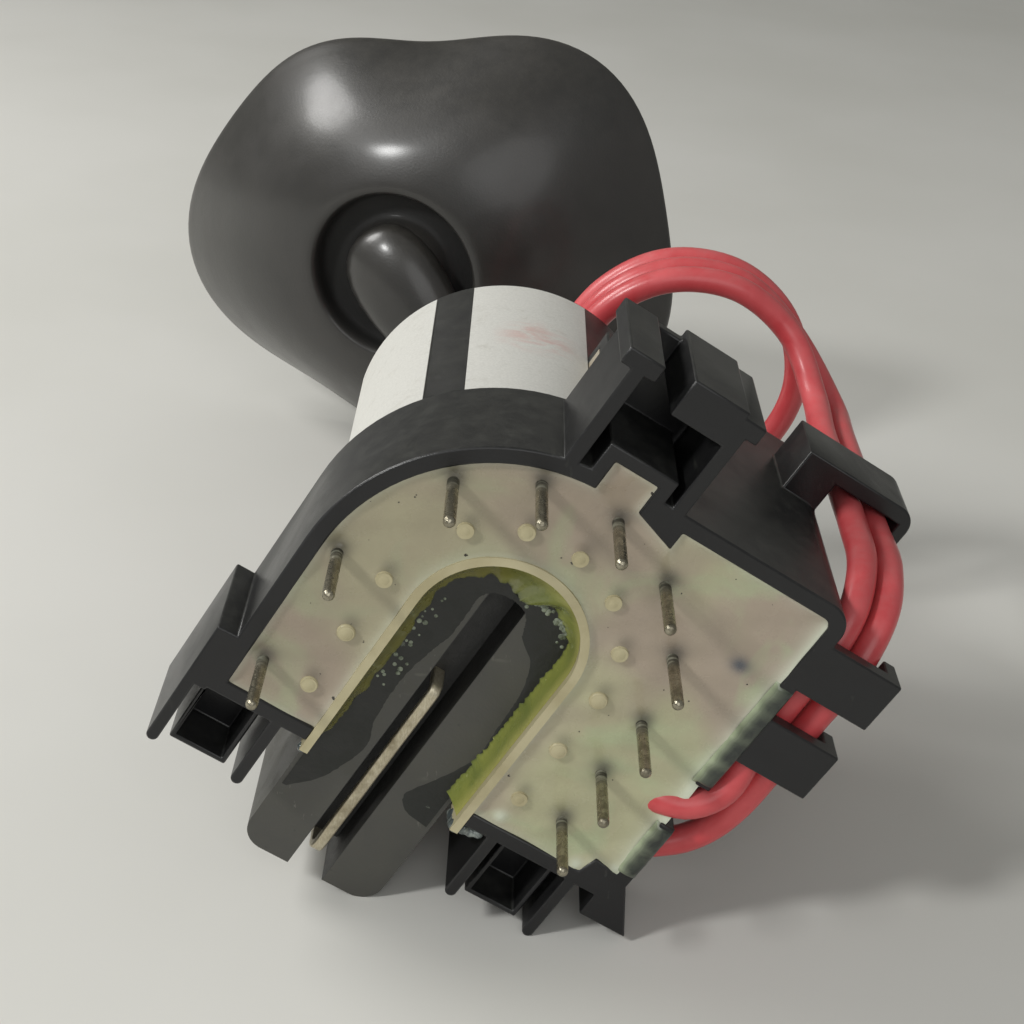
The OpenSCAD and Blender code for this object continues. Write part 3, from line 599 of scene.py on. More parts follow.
def sweep_rings(path, section, first_side):
    """Rings of a section, given as (side, up) offsets for each path point, carried along a path without twist."""
    side = Vector(first_side)
    rings = []
    for i, at in enumerate(path):
        way = (path[min(i + 1, len(path) - 1)] - path[max(i - 1, 0)]).normalized()
        side = (side - way * side.dot(way)).normalized()
        up = way.cross(side)
        rings.append([at + side * u + up * v for u, v in section(i)])
    return rings


def held(share):
    return max(0.0, min(1.0, share))


def circle(radius, sides):
    return [(radius * cos(2 * pi * k / sides), radius * sin(2 * pi * k / sides)) for k in range(sides)]


# ---- leads

LEAD_D = 3.4
# the wide wall, the lanes of both leads beside it and the corner where they turn back
WIDE, LANE_IN, LANE_OUT, LANE_Z, LANE_X = 30.5, 32.5, 36.2, 3.9, 25.4
FOCUS_EXIT, ANODE_EXIT = 6.2, 15.6
# the loop behind the focus box, and the spare turn on the table
LOOP_X, LOOP_Y, LOOP_R, LOOP_PITCH, FOCUS_LOOP, ANODE_LOOP = -15.5, -19.5, 16, 4.0, 61.5, 65.3
TURN_X, TURN_Y, FOCUS_TURN_R, ANODE_TURN_R = 14, 83.7, 19, 14
CAP_TURN, CAP_TILT = radians(16.5), radians(1.3)
CAP_AXIS = Vector((-sin(CAP_TURN) * cos(CAP_TILT), -cos(CAP_TURN) * cos(CAP_TILT), -sin(CAP_TILT)))
CAP_RIGHT = Vector((cos(CAP_TURN), -sin(CAP_TURN), 0))
CAP_UP = CAP_AXIS.cross(CAP_RIGHT)
CAP_AT = row(-19.6, 133.1, 38.054)
SLEEVE_TURN, SLEEVE_LIFT = radians(-45), radians(10)
SLEEVE_LEN, SLEEVE_BORE, SLEEVE_R = 26, 8, 4.4
SLEEVE_ROOT = 19


def cap_place(x, y, z):
    """A point in the cap's own axes, in mm."""
    return CAP_AT + (CAP_RIGHT * x + CAP_UP * y + CAP_AXIS * z) * MM


def sleeve_place(d):
    return cap_place(d * cos(SLEEVE_LIFT) * cos(SLEEVE_TURN), d * cos(SLEEVE_LIFT) * sin(SLEEVE_TURN),
                     SLEEVE_ROOT + d * sin(SLEEVE_LIFT))


def loop_place(t, start):
    t = radians(t)
    return lay(LOOP_X - LOOP_R * sin(t), LOOP_Y - LOOP_R * cos(t), start + LOOP_PITCH * t / (2 * pi))


def table_place(t, radius):
    return row(TURN_X + radius * cos(radians(t)), TURN_Y + radius * sin(radians(t)), LEAD_D / 2)


def focus_route():
    x, out = FOCUS_EXIT, -LANE_IN
    run = [(x + 3.4, -WIDE + 7.4, 5.9), (x + 2.4, -WIDE + 4.8, 2.95), (x + 1, -WIDE + 2.3, 1.35),
           (x - 0.4, -WIDE, 1.05), (x - 3.6, out - 0.1, 1.6), (-3.2, out, LANE_Z - 0.9), (-10, out, LANE_Z),
           (-17, out, LANE_Z + 0.2), (-LANE_X + 3.5, out, LANE_Z + 2.6), (-LANE_X + 0.5, out, LANE_Z + 8.4)]
    run += [(-LANE_X, out, w) for w in (20, 29, 38, 47)] + [(-LANE_X - 1, out + 0.6, 56)]
    points = [lay(*p) for p in run] + [loop_place(t, FOCUS_LOOP) for t in range(66, 277, 35)]
    points += [row(18.5, 64.3, 26), row(24.8, 65.3, 20.5), row(29.5, 68, 13.5), row(32.2, 73.2, 6.5),
               row(33.2, 80.2, 2.3)]
    return points + [table_place(t, FOCUS_TURN_R) for t in range(12, 143, 26)]


def anode_route():
    x, out = ANODE_EXIT, -LANE_OUT
    run = [(x, -WIDE + 1, LANE_Z), (x - 1.4, -WIDE - 0.9, LANE_Z), (x - 3.6, out + 2.5, LANE_Z),
           (x - 6.8, out + 0.8, LANE_Z), (4.5, out, LANE_Z), (-3, out, LANE_Z), (-10, out, LANE_Z),
           (-LANE_X + 8, out, LANE_Z + 0.4), (-LANE_X + 2.4, out, LANE_Z + 4), (-LANE_X, out, LANE_Z + 10.6)]
    run += [(-LANE_X, out, w) for w in (23, 32, 41, 50)] + [(-LANE_X - 0.4, out + 0.4, 58)]
    points = [lay(*p) for p in run] + [loop_place(t, ANODE_LOOP) for t in range(60, 529, 36)]
    points += [row(-0.8, 71.1, 41.5), row(-4.4, 72.1, 31.5), row(-5.6, 73.5, 21.5), row(-3.6, 73.7, 12),
               row(2, 72.3, 4.8)]
    points += [table_place(t, ANODE_TURN_R) for t in range(262, 407, 36)] + [row(17.5, 98.1, 2), row(9.5, 98.1, 4.2)]
    return points + [sleeve_place(SLEEVE_LEN + d) for d in (15, 7, 0, -SLEEVE_BORE)]


def make_lead(name, node, points, sides=20):
    radius = LEAD_D / 2 * MM
    path = [Vector((p.x, p.y, max(p.z, radius))) for p in smooth_path(points, 0.9 * MM)]
    rings = sweep_rings(path, lambda i: circle(radius, sides), (0.2, 1, 0.1))
    return piece(name, lofted(name, rings, caps=(True, True)), RED, "case", "lead", node), path


focus_points, anode_points = focus_route(), anode_route()
focus_tube, focus_path = make_lead("focus_lead_tube", "focus_lead", focus_points)
anode_tube, anode_path = make_lead("anode_lead_tube", "anode_lead", anode_points)


# ---- anode cap

CAP_R, CAP_DEPTH, DOME_R, DOME_TOP, COLLAR_R = 40.2, 20, 8.4, 22.6, 14
MOAT_R, MOAT_LOW, CAP_WALL = 10.2, 16, 2.4
# waves of the skirt: how many go round, their size and their turn
FOLDS = ((2, 4.3, -23), (3, 1.4, -175), (5, 1.7, 89))
CAP_SIDES = 160
ROOF = MOAT_LOW - CAP_WALL


def cap_profile():
    """Outer and inner line of the cap as radius and height, from the dome over the rim to the roof inside."""
    r, d = CAP_R, CAP_DEPTH
    outer = [(0, DOME_TOP), (DOME_R * 0.4, DOME_TOP - 0.5), (DOME_R * 0.72, DOME_TOP - 1.9),
             (DOME_R * 0.93, DOME_TOP - 4.2), (DOME_R, MOAT_LOW + 1.4), (DOME_R + 0.7, MOAT_LOW + 0.3),
             (MOAT_R + 0.6, MOAT_LOW), (COLLAR_R - 0.9, MOAT_LOW + 0.5), (COLLAR_R - 0.5, d - 1.2),
             (COLLAR_R - 0.1, d - 0.35), (COLLAR_R + 0.5, d - 0.05), (COLLAR_R + 2, d - 0.3), (0.55 * r, 0.86 * d),
             (0.7 * r, 0.66 * d), (0.84 * r, 0.4 * d), (0.95 * r, 0.15 * d), (r - 0.1, 0.3)]
    inner = [(r - 0.5, -0.15), (r - 1.4, 0.1), (0.92 * r, 0.15 * d - 0.8), (0.8 * r, 0.4 * d - 2),
             (0.66 * r, 0.66 * d - CAP_WALL), (0.5 * r, 0.86 * d - CAP_WALL - 0.6), (COLLAR_R, ROOF - 0.2),
             (MOAT_R, ROOF), (0, ROOF)]
    line = smooth_path([(x, 0, z) for x, z in outer + inner], 0.7)
    return [(max(p.x, 0.02), p.z) for p in line]


def fold(r, t):
    """How far the wavy skirt leans out at a radius and an angle."""
    share = (max(0, r - COLLAR_R) / (CAP_R - COLLAR_R)) ** 1.5
    return share * sum(size * cos(count * t + radians(turn)) for count, size, turn in FOLDS)


def make_cap():
    rings = []
    for r, z in cap_profile():
        rings.append([cap_place((r + fold(r, t)) * cos(t), (r + fold(r, t)) * sin(t), z)
                      for t in (2 * pi * k / CAP_SIDES for k in range(CAP_SIDES))])
    mesh = lofted("cap_bell", rings, caps=(True, True))
    # sleeve for the lead, thickest where it grows out of the dome like an elbow
    mouth = SLEEVE_LEN
    hole = LEAD_D / 2 + 0.05
    lines = [(-8.3, 0.6, 0.5), (-8.1, 2.4, 1.7), (-7.4, 4.2, 2.8), (-6.2, 5.7, 3.7), (-4.4, 6.9, 4.4),
             (-2, 7.7, 4.9), (1, 8.0, 5.1), (5, 7.8, 5.1), (9, 7.1, 4.9), (13, 6.3, 4.7), (17, 5.4, 4.5),
             (21, 4.7, SLEEVE_R), (mouth - 1, SLEEVE_R, SLEEVE_R),
             (mouth - 0.3, SLEEVE_R - 0.3, SLEEVE_R - 0.3), (mouth, SLEEVE_R - 0.9, SLEEVE_R - 0.9),
             (mouth - 0.1, hole + 0.45, hole + 0.45), (mouth - 0.6, hole, hole), (mouth - SLEEVE_BORE, hole, hole)]
    way = (sleeve_place(1) - sleeve_place(0)).normalized()
    across = way.cross(CAP_AXIS).normalized()
    over = across.cross(way)
    tube = [[sleeve_place(d) + (across * u * wide + over * v * tall) * MM for u, v in circle(1.0, 48)]
            for d, wide, tall in lines]
    sleeve = lofted("cap_sleeve", tube, caps=(True, True))
    b = bmesh.new()
    b.from_mesh(mesh)
    b.from_mesh(sleeve)
    b.to_mesh(mesh)
    b.free()
    bpy.data.meshes.remove(sleeve)
    mesh.shade_smooth()
    # painted shade: the ring between the dome and the collar, which lies in shade, is marked to be painted near black
    hollow = []
    for n, v in enumerate(mesh.vertices):
        p = (v.co - CAP_AT) / MM
        r = hypot(p.dot(CAP_RIGHT), p.dot(CAP_UP))
        inside = held((COLLAR_R + 0.1 - r) / 0.8) * held((r - DOME_R + 0.4) / 1.2)
        seen = n < len(rings) * CAP_SIDES and p.dot(CAP_AXIS) > MOAT_LOW - 0.8
        hollow.append(0.85 * inside if seen else 0.0)
    mark(mesh, hollow=hollow)
    return piece("anode_cap_rubber", mesh, RUBBER, "case", "rubber", "anode_cap")


cap = make_cap()


# ---- black case

def make_case():
    """The case with its edges broken, as a mould leaves them."""
    mesh = cad["housing"].data.copy()
    mesh.name = "case_shell"
    b = bmesh.new()
    b.from_mesh(mesh)
    bmesh.ops.remove_doubles(b, verts=b.verts, dist=0.002 * MM)
    bmesh.ops.dissolve_limit(b, angle_limit=radians(0.6), verts=b.verts, edges=b.edges)
    b.to_mesh(mesh)
    b.free()
    shell = piece("case_shell", mesh, BLACK, "case", "case", "housing")
    edge = shell.modifiers.new("broken edges", "BEVEL")
    edge.width = 0.22 * MM
    edge.segments = 2
    edge.limit_method = "ANGLE"
    edge.angle_limit = radians(35)
    edge.use_clamp_overlap = False
    edge.harden_normals = False
    mesh.shade_smooth()
    mesh.set_sharp_from_angle(angle=radians(32))
    return shell


make_case()


# ---- cast resin face

# rings of the pins and the pegs, their angles round the arch, and the half width of the slot lining
PIN_RING, PEG_RING = 19.3, 13.6
ARCH = (0, 45, 72, 99, 126, 153, 180)
TROUGH = 10.3


def on_arch(t, r):
    return -r * sin(radians(t)), r * cos(radians(t))


# corners where the resin climbs to a point with a painted glint, and a spot of ink
SPLASHES = [(19.6, -23.9), (17.7, -28.0), (18.9, -13.2)]
INK_AT = (-12.0, -23.8)
PIN_PLACES = [on_arch(t, PIN_RING) for t in ARCH] + [(15.6, PIN_RING), (7.8, -PIN_RING), (15.6, -PIN_RING)]
PEG_PLACES = [on_arch(t, PEG_RING) for t in ARCH] + [(x, s * PEG_RING) for x in (7.8, 15.6) for s in (-1, 1)]


def clear_of(corners, a, b):
    """How far a point lies outside a plan whose corners are listed clockwise."""
    best = -99.0
    for (x0, y0), (x1, y1) in zip(corners, corners[1:] + corners[:1]):
        side = ((x1 - x0) * (b - y0) - (y1 - y0) * (a - x0)) / hypot(x1 - x0, y1 - y0)
        best = max(best, side)
    return best


BRACE = [(-23.7, -4), (-21.2, -4), (-19.5, -9.2), (-23.7, -9.2)]
END_BLOCK = [(21.1, -29.6), (18.3, -29.6), (17.6, -25.4), (21.1, -24.4)]
# inner faces of the round wall, the arm ends and the wall and back of the wide side
ROUND_IN, END_IN, WIDE_IN, BACK_IN = 21.1, 20.1, 28.6, 21.8
# the grid of the face, how far it runs under the walls, and its level under the creep
FACE_FROM, FACE_COUNT, FACE_STEP, FACE_UNDER, FACE_LEVEL = (-25.4, -29.2), (117, 128), 0.4, 0.6, 0.15
LOWEST, HIGHEST = 0.025, 0.72
# creep up the walls and at the splashes: height and length
WALL_CREEP, SPLASH_CREEP = (0.38, 0.55), (0.5, 0.6)
# what stands in the resin: its places, its reach, the creep (height, start, length) and the painted shadow
# beside it, over a stain at the pin roots (strength, place beside it, width)
WETTED = ((PIN_PLACES, 5, (0.35, 0.7, 0.35), (0.85, 0.6, 0.2, 1.25)),
          (PEG_PLACES, 4, (0.3, 0.9, 0.5), (0.4, 1.3, 0.1, 0.95)))


def wall_room(a, b):
    """How far a point of the potting face lies inside the walls of the case and of the slot lining."""
    disc = ROUND_IN - hypot(a, b)
    arms = min(END_IN - a, ROUND_IN - abs(b))
    box = min(a + BACK_IN, END_IN - a, b + WIDE_IN, ROUND_IN - b)
    relief = min(a + 24.7, -11.5 - a, b + 4, 1.2 - b)
    room = max(disc, arms if a > 0 else -9, box if b < 0 else -9, relief)
    slot = (hypot(a, b) if a < 0 else abs(b)) - TROUGH
    return min(room, slot, clear_of(BRACE, a, b), clear_of(END_BLOCK, a, b))


def make_resin_face():
    """The face of the potting, which creeps up the walls, the pins and the pegs."""
    index, verts = {}, []
    marks = {"root_stain_and_shadow": [], "painted_meniscus_glint": [], "ink": [], "brown": []}
    for i in range(FACE_COUNT[0]):
        for j in range(FACE_COUNT[1]):
            a, b = FACE_FROM[0] + FACE_STEP * i, FACE_FROM[1] + FACE_STEP * j
            room = wall_room(a, b)
            if room < -FACE_UNDER:
                continue
            creep = exp(-max(room, 0) / WALL_CREEP[1])
            rise = FACE_LEVEL + WALL_CREEP[0] * creep
            # painted highlight: a pale band where the resin creeps up the walls, strongest along the wide wall
            bright = max(0.35 * creep ** 1.3, 0.95 * exp(-max(b + WIDE_IN, 0) / 0.8))
            dark = 0.0
            for places, reach, (high, start, length), (deep, da, db, wide) in WETTED:
                for x, y in places:
                    d = hypot(a - x, b - y)
                    if d < reach:
                        rise += high * exp(-max(d - start, 0) / length)
                        # painted shadow on one side of each pin and peg, with a stain at the pin roots
                        dark = max(dark, deep * exp(-(hypot(a - x + da, b - y - db) / wide) ** 2))
            for x, y in SPLASHES:
                d = hypot(a - x, b - y)
                rise += SPLASH_CREEP[0] * exp(-d / SPLASH_CREEP[1])
                # painted glint at each splash
                bright = max(bright, 0.9 * exp(-(d / 0.8) ** 2))
            rise += 0.09 * sin(a * 0.62 + 1) * sin(b * 0.5) + 0.05 * sin(a * 1.3 - b * 0.9)
            index[i, j] = len(verts)
            verts.append(lay(a, b, POTTING_DROP - max(LOWEST, min(rise, HIGHEST))))
            marks["root_stain_and_shadow"].append(dark)
            marks["painted_meniscus_glint"].append(bright)
            marks["ink"].append(0.85 * exp(-(hypot(a - INK_AT[0], (b - INK_AT[1]) * 0.8) / 0.9) ** 2))
            # the resin is darker and browner towards the narrow arm and the arch
            marks["brown"].append(0.5 * held((b + 9 - 0.5 * a) / 18))
    faces = []
    for i, j in index:
        corners = [(i, j), (i + 1, j), (i + 1, j + 1), (i, j + 1)]
        if all(c in index for c in corners):
            faces.append([index[c] for c in corners])
    mesh = sheet("resin_face", verts, faces)
    mark(mesh, **marks)
    return piece("resin_face", mesh, RESIN, "case", "potting")


make_resin_face()

# runs of the wide wall where resin was poured over, and the skin across it: place, depth and how thin it is
OVERRUNS = ((-12.9, 2.9), (9.5, 18.0))
OVERRUN_SKIN = ((-28.1, 0.36, 0.05), (-28.35, 0.1, 0.3), (-28.55, -0.12, 0.58), (-28.9, -0.22, 0.82),
                (-29.3, -0.27, 0.94), (-29.8, -0.27, 1.0), (-30.2, -0.19, 1.0), (-30.45, -0.05, 1.0),
                (-30.56, 0.2, 1.0))
# steps along a run, the length of its ends and how deep they sink into the wall
OVERRUN_STEP, OVERRUN_END, OVERRUN_SUNK = 0.3, 0.7, 0.4


def make_resin_overrun():
    """The thin skin that the resin leaves on top of the wide wall, sunk into the wall at its ends."""
    verts, thin, faces = [], [], []
    across = len(OVERRUN_SKIN)
    for start, end in OVERRUNS:
        count = int((end - start) / OVERRUN_STEP)
        for i in range(count + 1):
            a = start + (end - start) * i / count
            ramp = min(1.0, min(a - start, end - a) / OVERRUN_END)
            ramp *= ramp * (3 - 2 * ramp)
            wave = 0.025 * sin(a * 1.7) + 0.02 * sin(a * 3.1 + 1)
            if i:
                at = len(verts)
                faces += [(at + k, at + k + 1, at + k + 1 - across, at + k - across) for k in range(across - 1)]
            for b, w, share in OVERRUN_SKIN:
                verts.append(lay(a, b, OVERRUN_SUNK + (w + wave * (share < 1) - OVERRUN_SUNK) * ramp))
                thin.append(held(share + 2.4 * wave))
    mesh = sheet("resin_overrun", verts, faces)
    mark(mesh, thin=thin)
    return piece("resin_overrun", mesh, THIN_RESIN, "case", "potting")


make_resin_overrun()


# ---- posts on points: pins, pegs and bubbles

def make_posts_tree():
    """Round-topped posts that stand on points and face the front, each scaled by its own size."""
    g = Growth("round topped posts", {"Radius": 0.65 * MM, "Length": 9.8 * MM, "Dome": 0.6 * MM},
               {"Sides": 20, "Steps": 24})
    tall, dome = g.given["Length"], g.given["Dome"]
    rod = g.put("GeometryNodeMeshCylinder", {"Vertices": g.given["Sides"], "Side Segments": g.given["Steps"],
                                             "Radius": g.given["Radius"], "Depth": tall})["Mesh"]
    at = g.spot()
    half = g.times(tall, 0.5)
    under = g.sums("SUBTRACT", g.add(at["Z"], dome), half)
    share = g.sums("DIVIDE", g.sums("MAXIMUM", under, 0.0), dome, clamp=True)
    inset = g.times(g.sums("POWER", share, 2.0), 0.985)
    narrow = g.sums("SQRT", g.sums("SUBTRACT", 1.0, inset))
    place = g.put("ShaderNodeCombineXYZ", {0: g.times(at["X"], narrow), 1: g.times(at["Y"], narrow),
                                           2: g.add(at["Z"], half)})[0]
    shaped = g.put("GeometryNodeSetPosition", {"Geometry": rod, "Position": place})[0]
    depth = g.sums("SUBTRACT", 1.0, g.sums("DIVIDE", g.spot()["Z"], tall), clamp=True)
    root = {"Geometry": shaped, "Name": "root", "Value": g.span(depth, 0.6, 0.86)}
    marked = g.put("GeometryNodeStoreNamedAttribute", root, data_type="FLOAT", domain="POINT")[0]
    size = g.put("GeometryNodeInputNamedAttribute", {"Name": "size"}, data_type="FLOAT")["Attribute"]
    points = g.put("GeometryNodeMeshToPoints", {"Mesh": g.given["Geometry"]})[0]
    return g.end(g.put("GeometryNodeInstanceOnPoints", {"Points": points, "Instance": marked,
                                                        "Rotation": (pi / 2, 0.0, 0.0), "Scale": size})[0])


POSTS = make_posts_tree()


def stand_posts(name, places, finish, slot, sizes=None, nodes=(), **values):
    """Stands the posts on (a, b, w) places and returns them as one plain mesh piece."""
    seed = bpy.data.meshes.new(name + "_points")
    seed.from_pydata([tuple(lay(*p)) for p in places], [], [])
    mark(seed, size=sizes or [1.0] * len(places))
    mesh = grown(name, seed, POSTS, {"Finish": finish, **values})
    return piece(name, mesh, finish, "case", slot, *nodes)


PIN_LEN = 9.0
stand_posts("terminal_pin_set", [(a, b, POTTING_DROP + 0.3) for a, b in PIN_PLACES], TIN, "tinned",
            nodes=("terminal_pins",), Radius=0.65 * MM, Length=(PIN_LEN + POTTING_DROP + 0.3) * MM, Dome=0.6 * MM,
            Sides=24, Steps=60)
peg_luck = random.Random(4)
stand_posts("peg_heads", [(a, b, POTTING_DROP) for a, b in PEG_PLACES], CREAM, "cream_plastic",
            sizes=[peg_luck.uniform(0.92, 1.06) for _ in PEG_PLACES],
            Radius=1.0 * MM, Length=0.87 * MM, Dome=0.4 * MM, Sides=28, Steps=12)


# ---- epoxy along the slot

# half width of the slot, how deep the yoke's face lies in it, and how far its arms run
SLOT, YOKE_FACE, ARM_END = 9.3, 4.6, 22


def slot_line(step):
    """Places round the slot, from the narrow arm round the arch to the wide one: stretch, measure, point, way in."""
    straight, half_turn = int(ARM_END / step), int(pi * SLOT / step)
    places = []
    for k in range(straight):
        a = ARM_END * (1 - k / straight)
        places.append(("narrow", a, (a, SLOT), (0.0, -1.0)))
    for k in range(half_turn + 1):
        t = pi * k / half_turn
        places.append(("arch", 180 * k / half_turn, (-SLOT * sin(t), SLOT * cos(t)), (sin(t), -cos(t))))
    for k in range(1, straight + 1):
        a = ARM_END * k / straight
        places.append(("wide", a, (a, -SLOT), (0.0, 1.0)))
    return places


def eased_lines(table):
    """Each stretch of a table as the x and y of one smooth line."""
    lines = {}
    for stretch, points in table.items():
        line = smooth_path([(x, y, 0.0) for x, y in points], 0.5)
        lines[stretch] = [p.x for p in line], [p.y for p in line]
    return lines


# width of the bead on the yoke and the smear's reach from the middle, by distance along an arm or angle of the arch
BEAD_WIDTH = eased_lines({
    "narrow": ((0, 2.3), (15, 2.2), (22, 1.6)),
    "wide": ((0, 0.7), (10, 0.95), (16, 1.1), (22, 1.35)),
    "arch": ((0, 2.4), (45, 3.5), (75, 4.6), (90, 5.4), (112, 5.3), (130, 3.0), (149, 1.75), (166, 0.8), (180, 0.7)),
})
BARE_REACH = eased_lines({
    "narrow": ((0, 2.9), (4.4, 2.95), (6, 3.4), (11.6, 4.4), (18.7, 4.0), (21.4, 3.1), (28.2, 5.1), (31.5, 7.9)),
    "wide": ((0, 3.6), (0.8, 4.4), (2.2, 6.15), (6, 7.5), (11, 7.9), (16.5, 8.0), (21.2, 6), (25.2, 4), (27.0, 5.3),
             (27.6, 8.2)),
    "arch": ((0, 2.9), (45, 3.45), (90, 3.3), (135, 3.5), (165, 3.4), (180, 3.6)),
})
BEAD_STEP, BEAD_ROWS, SMEAR_STEP, SMEAR_ROWS, SMEAR_EDGE = 0.26, 14, 0.35, 9, 8.5
# where the smear starts on the narrow arm, and its steps beyond the slot on both arms
SMEAR_FROM, NARROW_STEPS, WIDE_STEPS = 31.5, 27, 16


def looked_up(table, stretch, measure):
    return float(np.interp(measure, *table[stretch]))


def make_epoxy_bead():
    """The bead between the yoke and the slot, with a ragged foot."""
    rnd = random.Random(7)
    wave = [rnd.uniform(0, 2 * pi) for _ in range(4)]
    rings, marks = [], {"painted_side_shade": [], "foot": [], "rim": []}
    places = slot_line(BEAD_STEP)
    for n, (stretch, measure, (a, b), (da, db)) in enumerate(places):
        u = n / len(places)
        width = looked_up(BEAD_WIDTH, stretch, measure)
        width += 0.04 * width * sum(sin((5 + 6 * k) * 2 * pi * u + wave[k]) for k in range(4))
        tooth = 0.13 if stretch == "wide" or (stretch == "arch" and measure > 140) else 0.05
        tooth = rnd.uniform(-tooth, tooth) + (tooth if n % 4 < 2 else 0)
        ring = []
        for k in range(BEAD_ROWS):
            s = k / (BEAD_ROWS - 1)
            inward = 0.02 + width * s + tooth * s ** 5
            thick = (YOKE_FACE - 1.3) * (1 - s) ** 1.45 + 0.28 * sqrt(1 - s ** 4)
            ring.append(lay(a + da * inward, b + db * inward, YOKE_FACE - 0.01 - thick))
            # painted shade: the bead is darker towards the narrow arm
            marks["painted_side_shade"].append(held((b + 3) / 9) * 0.8)
            marks["foot"].append(max(0.0, (s - 0.82) / 0.18) ** 2 * 0.7)
            marks["rim"].append(max(0.0, 1 - s / 0.35) * 0.7)
        ring.append(lay(a + da * 0.02, b + db * 0.02, YOKE_FACE + 0.2))
        for values in marks.values():
            values.append(0.0)
        rings.append(ring)
    mesh = lofted("epoxy_bead", rings, caps=(True, True))
    mark(mesh, **marks)
    mesh.set_sharp_from_angle(angle=radians(50))
    return piece("epoxy_bead", mesh, EPOXY, "case", "epoxy", "core_seal")


make_epoxy_bead()


def make_smear():
    """Dark film of epoxy that crept over the face of the yoke."""
    rnd = random.Random(11)
    line = [("narrow", SMEAR_FROM - SMEAR_STEP * k) for k in range(NARROW_STEPS)]
    line += [place[:2] for place in slot_line(SMEAR_STEP)]
    line += [("wide", ARM_END + SMEAR_STEP * k) for k in range(1, WIDE_STEPS + 1)]
    rings = []
    for stretch, measure in line:
        bare = looked_up(BARE_REACH, stretch, measure) + rnd.uniform(-0.06, 0.06)
        inside = stretch == "arch" or measure <= ARM_END
        reach = SLOT - looked_up(BEAD_WIDTH, stretch, measure) + 0.25 if inside else SMEAR_EDGE
        reach = min(max(reach, bare + 0.05), SMEAR_EDGE if inside else max(SMEAR_EDGE, bare))
        ring = []
        for k in range(SMEAR_ROWS):
            s = k / (SMEAR_ROWS - 1)
            r = reach + (bare - reach) * s
            w = YOKE_FACE - 0.005 - 0.06 * (1 - s ** 4)
            if stretch == "arch":
                ring.append(lay(*on_arch(measure, r), w))
            else:
                ring.append(lay(measure, r if stretch == "narrow" else -r, w))
        rings.append(ring)
    mesh = lofted("epoxy_smear", rings, closed=False, outward=False)
    face_front(mesh)
    return piece("epoxy_smear", mesh, SMEAR, "case", "epoxy")


make_smear()


def bubble_places():
    """Two flocks of bubbles: by the arch's foot on the wide side, and along the narrow arm."""
    rnd = random.Random(23)
    places, sizes = [], []
    for _ in range(26):
        t = rnd.uniform(118, 172)
        r = SLOT - looked_up(BEAD_WIDTH, "arch", t) - abs(rnd.gauss(0.1, 0.55))
        places.append((*on_arch(t, r), YOKE_FACE - 0.05))
        sizes.append(rnd.uniform(0.45, 1.0))
    for _ in range(24):
        places.append((rnd.uniform(-0.5, 14), rnd.uniform(5.0, 7.0), YOKE_FACE - 0.05))
        sizes.append(rnd.uniform(0.35, 1.0))
    return places, sizes


spots, spot_sizes = bubble_places()
stand_posts("epoxy_bubbles", spots, BUBBLE, "epoxy", sizes=spot_sizes, Radius=0.36 * MM, Length=0.14 * MM,
            Dome=0.13 * MM, Sides=12, Steps=4)


# lumps of spilt resin: place and radius
LUMPS = ((23.3, -9.9, 0.9, 0.85), (23.8, -10.0, 1.9, 0.95), (23.6, -10.3, 3.2, 1.0), (23.2, -10.9, 1.6, 0.9),
         (23.0, -11.8, 1.3, 0.75), (22.6, -12.6, 1.1, 0.6), (24.3, -10.1, 4.4, 0.7), (23.4, 9.9, 0.9, 0.6),
         (23.6, 9.8, 1.7, 0.6))


def make_drips():
    """Spilt resin round the ends of the slot lining."""
    rnd = random.Random(5)
    whole = bmesh.new()
    for a, b, w, r in LUMPS:
        middle = lay(a, b, w)
        made = bmesh.ops.create_icosphere(whole, subdivisions=3, radius=r * MM, matrix=Matrix.Translation(middle))
        pull = Vector((rnd.uniform(-1, 1), rnd.uniform(-1, 1), rnd.uniform(-1, 1)))
        for v in made["verts"]:
            v.co += (v.co - middle) * (0.25 * (v.co - middle).dot(pull) / (r * MM))
    rough = bpy.data.meshes.new("drip_lumps")
    whole.to_mesh(rough)
    whole.free()
    thing = into_scene("drip_lumps", rough)
    joined = thing.modifiers.new("joined", "REMESH")
    joined.mode = "VOXEL"
    joined.voxel_size = 0.14 * MM
    eased = thing.modifiers.new("eased", "SMOOTH")
    eased.factor = 0.5
    eased.iterations = 6
    mesh = plain_mesh(thing, "resin_drips")
    mesh.shade_smooth()
    return piece("resin_drips", mesh, SPILT, "case", "potting")


make_drips()


# ---- clip strip

